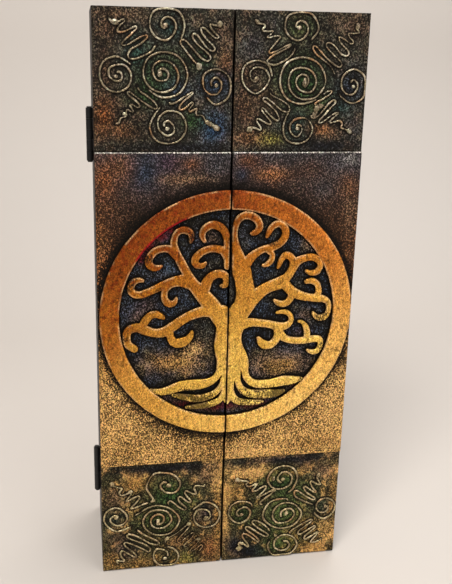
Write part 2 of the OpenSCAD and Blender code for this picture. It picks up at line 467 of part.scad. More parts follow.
// Draws a right-hand part as it is, or mirrored to the left
module on_side(side) {
    mirror([side < 0 ? 1 : 0, 0, 0])
        children();
}

// The half of the door that a relief may cover
module door_half(side) {
    on_side(side)
        translate([door_x, 0])
            square([door_w, cabinet_h]);
}

module side_board() {
    difference() {
        box([side_inner_x, carcass_y, board_t],
            [cabinet_w / 2, carcass_y + carcass_d, cabinet_h - board_t]);
        for (z = hinge_zs) {
            leaf_seat(z, carcass_y - over, carcass_y + leaf_recess);
            screw_holes(z, carcass_y, 1);
        }
    }
}

// The recess that a hinge leaf lies in
module leaf_seat(z, y0, y1) {
    box([hinge_x - leaf_w, y0, z - hinge_l / 2], [hinge_x, y1, z + hinge_l / 2]);
}

module screw_holes(z, y, dir) {
    for (dz = screw_zs)
        translate([screw_x, y, z + dz])
            rotate([-90 * dir, 0, 0])
                cylinder(r = screw_r + screw_clear, h = leaf_recess + screw_l + screw_clear);
}

module end_board(z) {
    box([-cabinet_w / 2, carcass_y, z], [cabinet_w / 2, carcass_y + carcass_d, z + board_t]);
}

module shelf(z) {
    color("saddlebrown")
        box([-side_inner_x, carcass_y + shelf_setback, z],
            [side_inner_x, carcass_y + carcass_d, z + shelf_t]);
}

module back_panel() {
    color("saddlebrown")
        box([-cabinet_w / 2, back_y - back_t, 0], [cabinet_w / 2, back_y, cabinet_h]);
}

module left_side() {
    color([0.1, 0.09, 0.08])
        on_side(-1)
            side_board();
}

module right_side() {
    color([0.1, 0.09, 0.08])
        side_board();
}

module top_board() {
    color([0.1, 0.09, 0.08])
        difference() {
            end_board(cabinet_h - board_t);
            for (x = [-catch_screw_x, catch_screw_x])
                translate([x, carcass_y + catch_d / 2, cabinet_h - board_t - over])
                    cylinder(r = catch_screw_r + screw_clear,
                             h = over + catch_screw_into_board + screw_clear);
        }
}

module bottom_board() {
    color([0.1, 0.09, 0.08])
        end_board(0);
}

module upper_shelf() {
    shelf(shelf_zs[1]);
}

module lower_shelf() {
    shelf(shelf_zs[0]);
}

module door_board() {
    difference() {
        box([door_x, board_y, door_end_gap],
            [cabinet_w / 2, door_back_y, cabinet_h - door_end_gap]);
        for (z = hinge_zs) {
            leaf_seat(z, door_back_y - leaf_recess, door_back_y + over);
            screw_holes(z, door_back_y, -1);
        }
        strike_block(door_back_y + over);
        strike_hole();
    }
}

module left_door_board() {
    color([0.16, 0.11, 0.07])
        on_side(-1)
            door_board();
}

module right_door_board() {
    color([0.16, 0.11, 0.07])
        door_board();
}

module centre_panel(side) {
    color([0.45, 0.36, 0.2])
        on_side(side)
            box([door_x, panel_y, lower_tile_top], [cabinet_w / 2, board_y, upper_tile_bottom]);
}

module left_centre_panel() {
    centre_panel(-1);
}

module right_centre_panel() {
    centre_panel(1);
}

module tile(side, z0, z1, tint) {
    color(tint)
        on_side(side)
            box([door_x, tile_y, z0], [cabinet_w / 2, board_y, z1]);
}

module top_left_tile() {
    tile(-1, upper_tile_bottom, cabinet_h - door_end_gap, [0.2, 0.22, 0.24]);
}

module top_right_tile() {
    tile(1, upper_tile_bottom, cabinet_h - door_end_gap, [0.24, 0.21, 0.22]);
}

module bottom_left_tile() {
    tile(-1, door_end_gap, lower_tile_top, [0.34, 0.27, 0.16]);
}

module bottom_right_tile() {
    tile(1, door_end_gap, lower_tile_top, [0.38, 0.31, 0.17]);
}

module ring_half(side) {
    color([0.72, 0.55, 0.32])
        stand(panel_y, relief_h)
            intersection() {
                translate([0, ring_z])
                    difference() {
                        circle(r = ring_outer_r * art, $fn = ring_fn);
                        circle(r = ring_inner_r * art, $fn = ring_fn);
                    }
                door_half(side);
            }
}

module left_ring_half() {
    ring_half(-1);
}

module right_ring_half() {
    ring_half(1);
}

module tree_half(side, trunk, branches) {
    color([0.75, 0.58, 0.34])
        stand(panel_y, relief_h)
            intersection() {
                translate([0, ring_z - tree_list_z * art]) {
                    polygon(smooth(art * trunk, branch_steps));
                    for (rows = branches)
                        stroke(rows, branch_steps);
                }
                door_half(side);
                translate([0, ring_z])
                    circle(r = ring_inner_r * art - tree_clear, $fn = ring_fn);
            }
}

module left_tree_half() {
    tree_half(-1, LEFT_TRUNK, LEFT_BRANCHES);
}

module right_tree_half() {
    tree_half(1, RIGHT_TRUNK, RIGHT_BRANCHES);
}

module tile_spirals(list) {
    color([0.66, 0.6, 0.46])
        stand(tile_y, cord_h)
            spirals(list);
}

module squiggle_chains(list) {
    for (route = list)
        link_chain(route);
}

// The squiggles stop where they meet a spiral.
module tile_squiggles(list, centre, outer) {
    color([0.6, 0.55, 0.44])
        stand(tile_y, cord_h)
            difference() {
                squiggle_chains(list);
                spirals(centre);
                spirals(outer);
            }
}

module top_left_centre_spiral() {
    tile_spirals(TOP_LEFT_CENTRE);
}

module top_left_outer_spirals() {
    tile_spirals(TOP_LEFT_OUTER);
}

module top_left_squiggles() {
    tile_squiggles(TOP_LEFT_SQUIGGLES, TOP_LEFT_CENTRE, TOP_LEFT_OUTER);
}

module top_right_centre_spiral() {
    tile_spirals(TOP_RIGHT_CENTRE);
}

module top_right_outer_spirals() {
    tile_spirals(TOP_RIGHT_OUTER);
}

module top_right_squiggles() {
    tile_squiggles(TOP_RIGHT_SQUIGGLES, TOP_RIGHT_CENTRE, TOP_RIGHT_OUTER);
}

module bottom_left_centre_spiral() {
    tile_spirals(BOTTOM_LEFT_CENTRE);
}

module bottom_left_outer_spirals() {
    tile_spirals(BOTTOM_LEFT_OUTER);
}

module bottom_left_squiggles() {
    tile_squiggles(BOTTOM_LEFT_SQUIGGLES, BOTTOM_LEFT_CENTRE, BOTTOM_LEFT_OUTER);
}

module bottom_right_centre_spiral() {
    tile_spirals(BOTTOM_RIGHT_CENTRE);
}

module bottom_right_outer_spirals() {
    tile_spirals(BOTTOM_RIGHT_OUTER);
}

module bottom_right_squiggles() {
    tile_squiggles(BOTTOM_RIGHT_SQUIGGLES, BOTTOM_RIGHT_CENTRE, BOTTOM_RIGHT_OUTER);
}

// One leaf of a hinge. dir is 1 for the leaf on the frame and -1 for the leaf on the door,
// and ks are the knuckles that it carries, counted from the bottom.
module leaf(side, z, dir, ks) {
    y0 = min(dir * leaf_gap / 2, dir * (leaf_gap / 2 + leaf_t));
    y1 = y0 + leaf_t;
    color([0.08, 0.08, 0.08])
        on_side(side)
            translate([hinge_x, hinge_y, z - hinge_l / 2])
                difference() {
                    union() {
                        box([-leaf_w, y0, 0], [leaf_outer_x - hinge_x, y1, hinge_l]);
                        for (k = ks)
                            translate([0, 0, k * knuckle_pitch]) {
                                box([leaf_outer_x - hinge_x, y0, 0], [0, y1, knuckle_l]);
                                cylinder(r = knuckle_r, h = knuckle_l);
                            }
                    }
                    translate([0, 0, -over])
                        cylinder(r = pin_r + pin_clear, h = hinge_l + 2 * over);
                    for (dz = screw_zs)
                        translate([screw_x - hinge_x, dir * leaf_gap / 2, hinge_l / 2 + dz])
                            rotate([-90 * dir, 0, 0])
                                cylinder(r1 = screw_head_r + screw_clear,
                                         r2 = screw_r + screw_clear, h = leaf_t);
                }
}

module frame_leaf(side, z) {
    leaf(side, z, 1, [0, 2, 4]);
}

module door_leaf(side, z) {
    leaf(side, z, -1, [1, 3]);
}

module hinge_pin(side, z) {
    color([0.12, 0.12, 0.12])
        on_side(side)
            translate([hinge_x, hinge_y, z - hinge_l / 2]) {
                cylinder(r = pin_r, h = hinge_l);
                for (head_z = [-pin_head_h, hinge_l])
                    translate([0, 0, head_z])
                        cylinder(r = pin_head_r, h = pin_head_h);
            }
}

module upper_left_frame_leaf() {
    frame_leaf(-1, hinge_zs[1]);
}

module upper_left_door_leaf() {
    door_leaf(-1, hinge_zs[1]);
}

module upper_left_hinge_pin() {
    hinge_pin(-1, hinge_zs[1]);
}

module lower_left_frame_leaf() {
    frame_leaf(-1, hinge_zs[0]);
}

module lower_left_door_leaf() {
    door_leaf(-1, hinge_zs[0]);
}

module lower_left_hinge_pin() {
    hinge_pin(-1, hinge_zs[0]);
}

module upper_right_frame_leaf() {
    frame_leaf(1, hinge_zs[1]);
}

module upper_right_door_leaf() {
    door_leaf(1, hinge_zs[1]);
}

module upper_right_hinge_pin() {
    hinge_pin(1, hinge_zs[1]);
}

module lower_right_frame_leaf() {
    frame_leaf(1, hinge_zs[0]);
}

module lower_right_door_leaf() {
    door_leaf(1, hinge_zs[0]);
}

module lower_right_hinge_pin() {
    hinge_pin(1, hinge_zs[0]);
}

// A countersunk screw with its head flush at the origin, driven along +Z
module screw(r, head_r, head_h, l) {
    cylinder(r1 = head_r, r2 = r, h = head_h);
    translate([0, 0, head_h])
        cylinder(r = r, h = l);
}

// The screws of one side's two leaves, driven backwards or forwards
module leaf_screws(side, dir) {
    color([0.14, 0.14, 0.14])
        on_side(side)
            for (z = hinge_zs, dz = screw_zs)
                translate([screw_x, hinge_y + dir * leaf_gap / 2, z + dz])
                    rotate([-90 * dir, 0, 0])
                        screw(screw_r, screw_head_r, leaf_t, screw_l);
}

module frame_hinge_screws() {
    leaf_screws(-1, 1);
    leaf_screws(1, 1);
}

module left_door_hinge_screws() {
    leaf_screws(-1, -1);
}

module right_door_hinge_screws() {
    leaf_screws(1, -1);
}

module magnet_block(side, y0) {
    translate([side * magnet_x, 0, strike_z])
        box([-magnet_size.x / 2, y0, -magnet_size.z / 2],
            [magnet_size.x / 2, carcass_y + magnet_size.y, magnet_size.z / 2]);
}

module catch_body() {
    color([0.85, 0.83, 0.78])
        difference() {
            box([-catch_l / 2, carcass_y, catch_z], [catch_l / 2, carcass_y + catch_d,
                                                     catch_z + catch_h]);
            for (side = [-1, 1])
                magnet_block(side, carcass_y - over);
            for (x = [-catch_screw_x, catch_screw_x])
                translate([x, carcass_y + catch_d / 2, catch_z]) {
                    cylinder(r1 = 2 * catch_screw_r + screw_clear,
                             r2 = catch_screw_r + screw_clear, h = catch_head_h);
                    cylinder(r = catch_screw_r + screw_clear, h = catch_h + over);
                }
        }
}

module catch_magnets() {
    color([0.3, 0.3, 0.32])
        for (side = [-1, 1])
            magnet_block(side, carcass_y - magnet_proud);
}

module catch_screws() {
    color([0.6, 0.6, 0.6])
        for (x = [-catch_screw_x, catch_screw_x])
            translate([x, carcass_y + catch_d / 2, catch_z])
                screw(catch_screw_r, 2 * catch_screw_r, catch_head_h,
                      catch_h - catch_head_h + catch_screw_into_board);
}

// A strike plate's place in the back of the right-hand door, up to the plane y = y1
module strike_block(y1) {
    translate([magnet_x, 0, strike_z])
        box([-strike_size.x / 2, door_back_y - strike_size.y, -strike_size.z / 2],
            [strike_size.x / 2, y1, strike_size.z / 2]);
}

module strike_hole() {
    translate([magnet_x, door_back_y, strike_z])
        rotate([90, 0, 0])
            cylinder(r = strike_screw_r + screw_clear,
                     h = strike_size.y + strike_screw_l + screw_clear);
}

module strike_plate(side) {
    color([0.7, 0.7, 0.7])
        on_side(side)
            difference() {
                strike_block(door_back_y);
                translate([magnet_x, door_back_y, strike_z])
                    rotate([90, 0, 0])
                        cylinder(r1 = 2 * strike_screw_r + screw_clear,
                                 r2 = strike_screw_r + screw_clear, h = strike_size.y);
            }
}

module strike_screw(side) {
    color([0.6, 0.6, 0.6])
        on_side(side)
            translate([magnet_x, door_back_y, strike_z])
                rotate([90, 0, 0])
                    screw(strike_screw_r, 2 * strike_screw_r, strike_size.y, strike_screw_l);
}

module left_strike_plate() {
    strike_plate(-1);
}

module right_strike_plate() {
    strike_plate(1);
}

module left_strike_screw() {
    strike_screw(-1);
}

module right_strike_screw() {
    strike_screw(1);
}

back_panel();
left_side();
right_side();
top_board();
bottom_board();
upper_shelf();
lower_shelf();
left_door_board();
right_door_board();
left_centre_panel();
right_centre_panel();
top_left_tile();
top_right_tile();
bottom_left_tile();
bottom_right_tile();
left_ring_half();
right_ring_half();
left_tree_half();
right_tree_half();
top_left_centre_spiral();
top_left_outer_spirals();
top_left_squiggles();
top_right_centre_spiral();
top_right_outer_spirals();
top_right_squiggles();
bottom_left_centre_spiral();
bottom_left_outer_spirals();
bottom_left_squiggles();
bottom_right_centre_spiral();
bottom_right_outer_spirals();
bottom_right_squiggles();
upper_left_frame_leaf();
upper_left_door_leaf();
upper_left_hinge_pin();
lower_left_frame_leaf();
lower_left_door_leaf();
lower_left_hinge_pin();
upper_right_frame_leaf();
upper_right_door_leaf();
upper_right_hinge_pin();
lower_right_frame_leaf();
lower_right_door_leaf();
lower_right_hinge_pin();
frame_hinge_screws();
left_door_hinge_screws();
right_door_hinge_screws();
catch_body();
catch_magnets();
catch_screws();
left_strike_plate();
right_strike_plate();
left_strike_screw();
right_strike_screw();
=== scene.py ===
import math

import bmesh
import bpy
import numpy as np
from mathutils import Matrix, Vector
from mathutils.kdtree import KDTree


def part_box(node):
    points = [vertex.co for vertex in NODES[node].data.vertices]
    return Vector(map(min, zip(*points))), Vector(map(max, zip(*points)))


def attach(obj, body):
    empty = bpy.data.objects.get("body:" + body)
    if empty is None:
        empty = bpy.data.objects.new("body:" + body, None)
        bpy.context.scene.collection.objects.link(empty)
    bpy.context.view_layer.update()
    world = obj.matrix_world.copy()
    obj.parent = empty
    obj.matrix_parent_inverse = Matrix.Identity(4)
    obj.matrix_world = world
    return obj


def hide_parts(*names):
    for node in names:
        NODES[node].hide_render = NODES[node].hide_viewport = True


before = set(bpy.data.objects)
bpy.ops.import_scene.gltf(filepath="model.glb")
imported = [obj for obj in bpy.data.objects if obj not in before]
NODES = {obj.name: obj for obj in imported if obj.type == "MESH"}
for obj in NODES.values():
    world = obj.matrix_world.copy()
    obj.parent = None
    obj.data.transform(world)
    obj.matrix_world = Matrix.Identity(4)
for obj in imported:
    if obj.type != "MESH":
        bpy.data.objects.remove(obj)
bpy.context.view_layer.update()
MM = 0.001
SIDES = ("left", "right")

# ---------------------------------------------------------------- camera
# The photograph's viewing angle: from the front, a little to the left and above.
# Its axes are unit vectors in the row frame, and its place is in millimetres.
CAMERA_AT = (-108.5, -587.0, 418.6)
CAMERA_RIGHT = Vector((0.9868, -0.1607, 0.0177))
CAMERA_FORWARD = Vector((0.1597, 0.9512, -0.2642))
LENS_MM = 46.26
# The photograph was cropped: its middle lies this far from the lens axis, in picture heights.
SHIFT_X = 0.034
SHIFT_Y = -0.055
SENSOR_MM = 36.0


def make_camera():
    forward = CAMERA_FORWARD.normalized()
    up = CAMERA_RIGHT.cross(forward).normalized()
    right = forward.cross(up)
    data = bpy.data.cameras.new("camera")
    data.lens = LENS_MM
    data.sensor_fit = "VERTICAL"
    data.sensor_height = SENSOR_MM
    data.shift_x = SHIFT_X
    data.shift_y = SHIFT_Y
    data.clip_start = 0.01
    data.clip_end = 50.0
    camera = bpy.data.objects.new("camera", data)
    rotation = Matrix((right, up, -forward)).transposed().to_4x4()
    camera.matrix_world = Matrix.Translation(MM * Vector(CAMERA_AT)) @ rotation
    bpy.context.scene.collection.objects.link(camera)
    bpy.context.scene.camera = camera


make_camera()

# ---------------------------------------------------------------- the relief, in mm
# Height of the ring's middle, and its radii
RING_Z = 223.3
RING_OUTER_R = 98.5
RING_INNER_R = 84.5
# Turn between two radii of a spiral, in degrees
CORD_TURN = 45

# A spiral is (centre, angle of its outer end, turn per radius, radii from the outside in,
# the points of its outer tail). Places are (x, z) on the door, in mm.
CENTRES = {
    "top_left": [
        [[-51.7, 404.2], 225, CORD_TURN,
         [14.2, 15.6, 17.7, 18.3, 17.2, 15.4, 14.5, 13, 12.1, 12.1, 12.5, 11.8, 10.5, 9.6, 8.3, 5.9,
          4.9, 4.2, 4.7, 4.8, 4.4, 4.1, 3.2, 1.3], []]
    ],
    "top_right": [
        [[50.8, 400.6], 315, -CORD_TURN,
         [17.4, 15.7, 16.4, 16.8, 17.9, 17.1, 17.2, 17.5, 15.2, 12.3, 10.9, 10.4, 11, 9.8, 9.9, 10.4,
          9.9, 6.6, 5.2, 4.9, 4.8, 5.2, 5.1, 4.4, 3.9, 2], []]
    ],
    "bottom_left": [
        [[-54.2, 44.9], 90, -CORD_TURN,
         [14.6, 14.9, 18, 16.4, 13.4, 12.1, 12.4, 11.6, 10.4, 11.1, 11.3, 8.7, 6.8, 6.3, 5.9, 6, 6.3,
          6.1, 5, 3.8, 3.2, 1.8], [[-73.5, 51.7], [-68.9, 54.2], [-62.4, 57.9]]]
    ],
    "bottom_right": [
        [[54, 41], 90, CORD_TURN,
         [15.6, 18.8, 19, 14.5, 13, 13.8, 15, 12.6, 11.6, 11.1, 10.4, 9.6, 7.6, 7.8, 8.7, 7.7, 5,
          4.1, 3.2, 3.3], [[56.8, 53.6]]]
    ],
}
OUTERS = {
    "top_left": [
        [[-48.5, 437.6], 315, CORD_TURN,
         [14, 12.6, 12.5, 11, 12.5, 11.6, 10.9, 10, 7.4, 6.6, 6.1, 5.3, 4.3, 3.8, 2.6, 1], []],
        [[-83.5, 403.1], 45, CORD_TURN,
         [12.4, 13, 12.9, 11.5, 11.1, 11.1, 10.9, 10.4, 9.4, 7.3, 6.8, 5, 3.7, 3.7, 4.3, 3.9, 3.7,
          2.2], [[-74.4, 410]]],
        [[-12.8, 396.4], 225, CORD_TURN,
         [10.1, 12.5, 11.6, 10.8, 11.6, 12.2, 12.1, 9.1, 7, 5.4, 4.2, 3.9, 4.9, 6.4, 5, 3], []],
        [[-47.1, 367.8], 135, CORD_TURN,
         [13.1, 13.2, 12.6, 11.8, 12.6, 13.2, 13, 11.3, 9.3, 7.1, 5.9, 6.1, 5.6, 4.3, 3.7, 4.3, 4,
          2.6], [[-52.4, 382.4], [-54.9, 378.9]]]
    ],
    "top_right": [
        [[46.5, 437.4], 315, CORD_TURN,
         [12, 14.3, 13.4, 11.1, 11.9, 10.4, 8.6, 8.1, 7.1, 6.6, 6, 5.1, 3.4, 1.4], []],
        [[16.1, 403.1], 0, CORD_TURN,
         [12.2, 12.5, 11.8, 11.6, 10.2, 9.9, 11.2, 9.9, 10, 8.6, 7.1, 5.8, 3.9, 3.2, 2.8, 1.5], []],
        [[89.4, 397.4], 225, CORD_TURN,
         [11.1, 11.8, 11.4, 9.2, 11.3, 12.6, 11.1, 8.8, 7, 5.4, 3.9, 3.6, 4.2, 5.1, 3.6],
         [[78.9, 393.1]]],
        [[48.6, 366.7], 135, CORD_TURN,
         [12.4, 10.7, 11.1, 10.7, 11.4, 11.6, 10.2, 7.6, 6.5, 5.7, 5.3, 5.7, 4, 3.6, 3.4, 2.9, 1.2],
         [[41.9, 378.9]]]
    ],
    "bottom_left": [
        [[-46.7, 78.1], 180, -CORD_TURN,
         [16.8, 15.2, 10.9, 10.3, 10.9, 10.1, 7.1, 5.7, 5.4, 3.8, 1.8],
         [[-57.8, 63.9], [-58.9, 67.4], [-61, 71]]],
        [[-87.7, 49.6], 315, -CORD_TURN,
         [12.9, 11.4, 9.9, 10.6, 11.3, 10.6, 8.4, 8.3, 6.9, 5.9, 5.4, 5.7, 4.2, 3, 2],
         [[-76.4, 42.1]]],
        [[-14.6, 46], 135, -CORD_TURN,
         [12.1, 13.2, 12.4, 12.5, 12.1, 10.7, 9.9, 9.5, 8.9, 6.1, 4.9, 4.4, 4.1, 3.6, 2],
         [[-25.1, 51.9]]],
        [[-47.4, 10], 90, -CORD_TURN,
         [10.1, 9.6, 10.7, 10.6, 8.4, 9.3, 10.4, 11.2, 5.7, 2.4, 1], []]
    ],
    "bottom_right": [
        [[50.4, 76.4], 315, CORD_TURN,
         [14.3, 13.2, 12.6, 11.5, 11.6, 12.5, 11.5, 10.1, 9.6, 8.6, 7.1, 5.7, 4, 3.9, 3.8, 4.2],
         [[55.8, 61.9]]],
        [[15.1, 46.4], 45, CORD_TURN,
         [12.1, 10.9, 10.6, 9.6, 9.1, 10, 9.5, 9.1, 6.9, 3.7, 2.9, 2.6, 2.9, 3.4], [[25.9, 50.6]]],
        [[89.4, 45.3], 225, CORD_TURN,
         [10.1, 11.1, 9.6, 9.2, 8.8, 8.8, 8.4, 7.5, 6.1, 4.9, 3.6, 2.7, 2.2], [[80.4, 41.6]]],
        [[53.6, 10.8], 180, CORD_TURN,
         [13, 11.8, 9, 11.4, 12.9, 11.6, 10.4, 9.1, 7.3, 5.5, 4.9, 5.4, 6.1, 5.3, 4.2],
         [[42.6, 17]]]
    ],
}
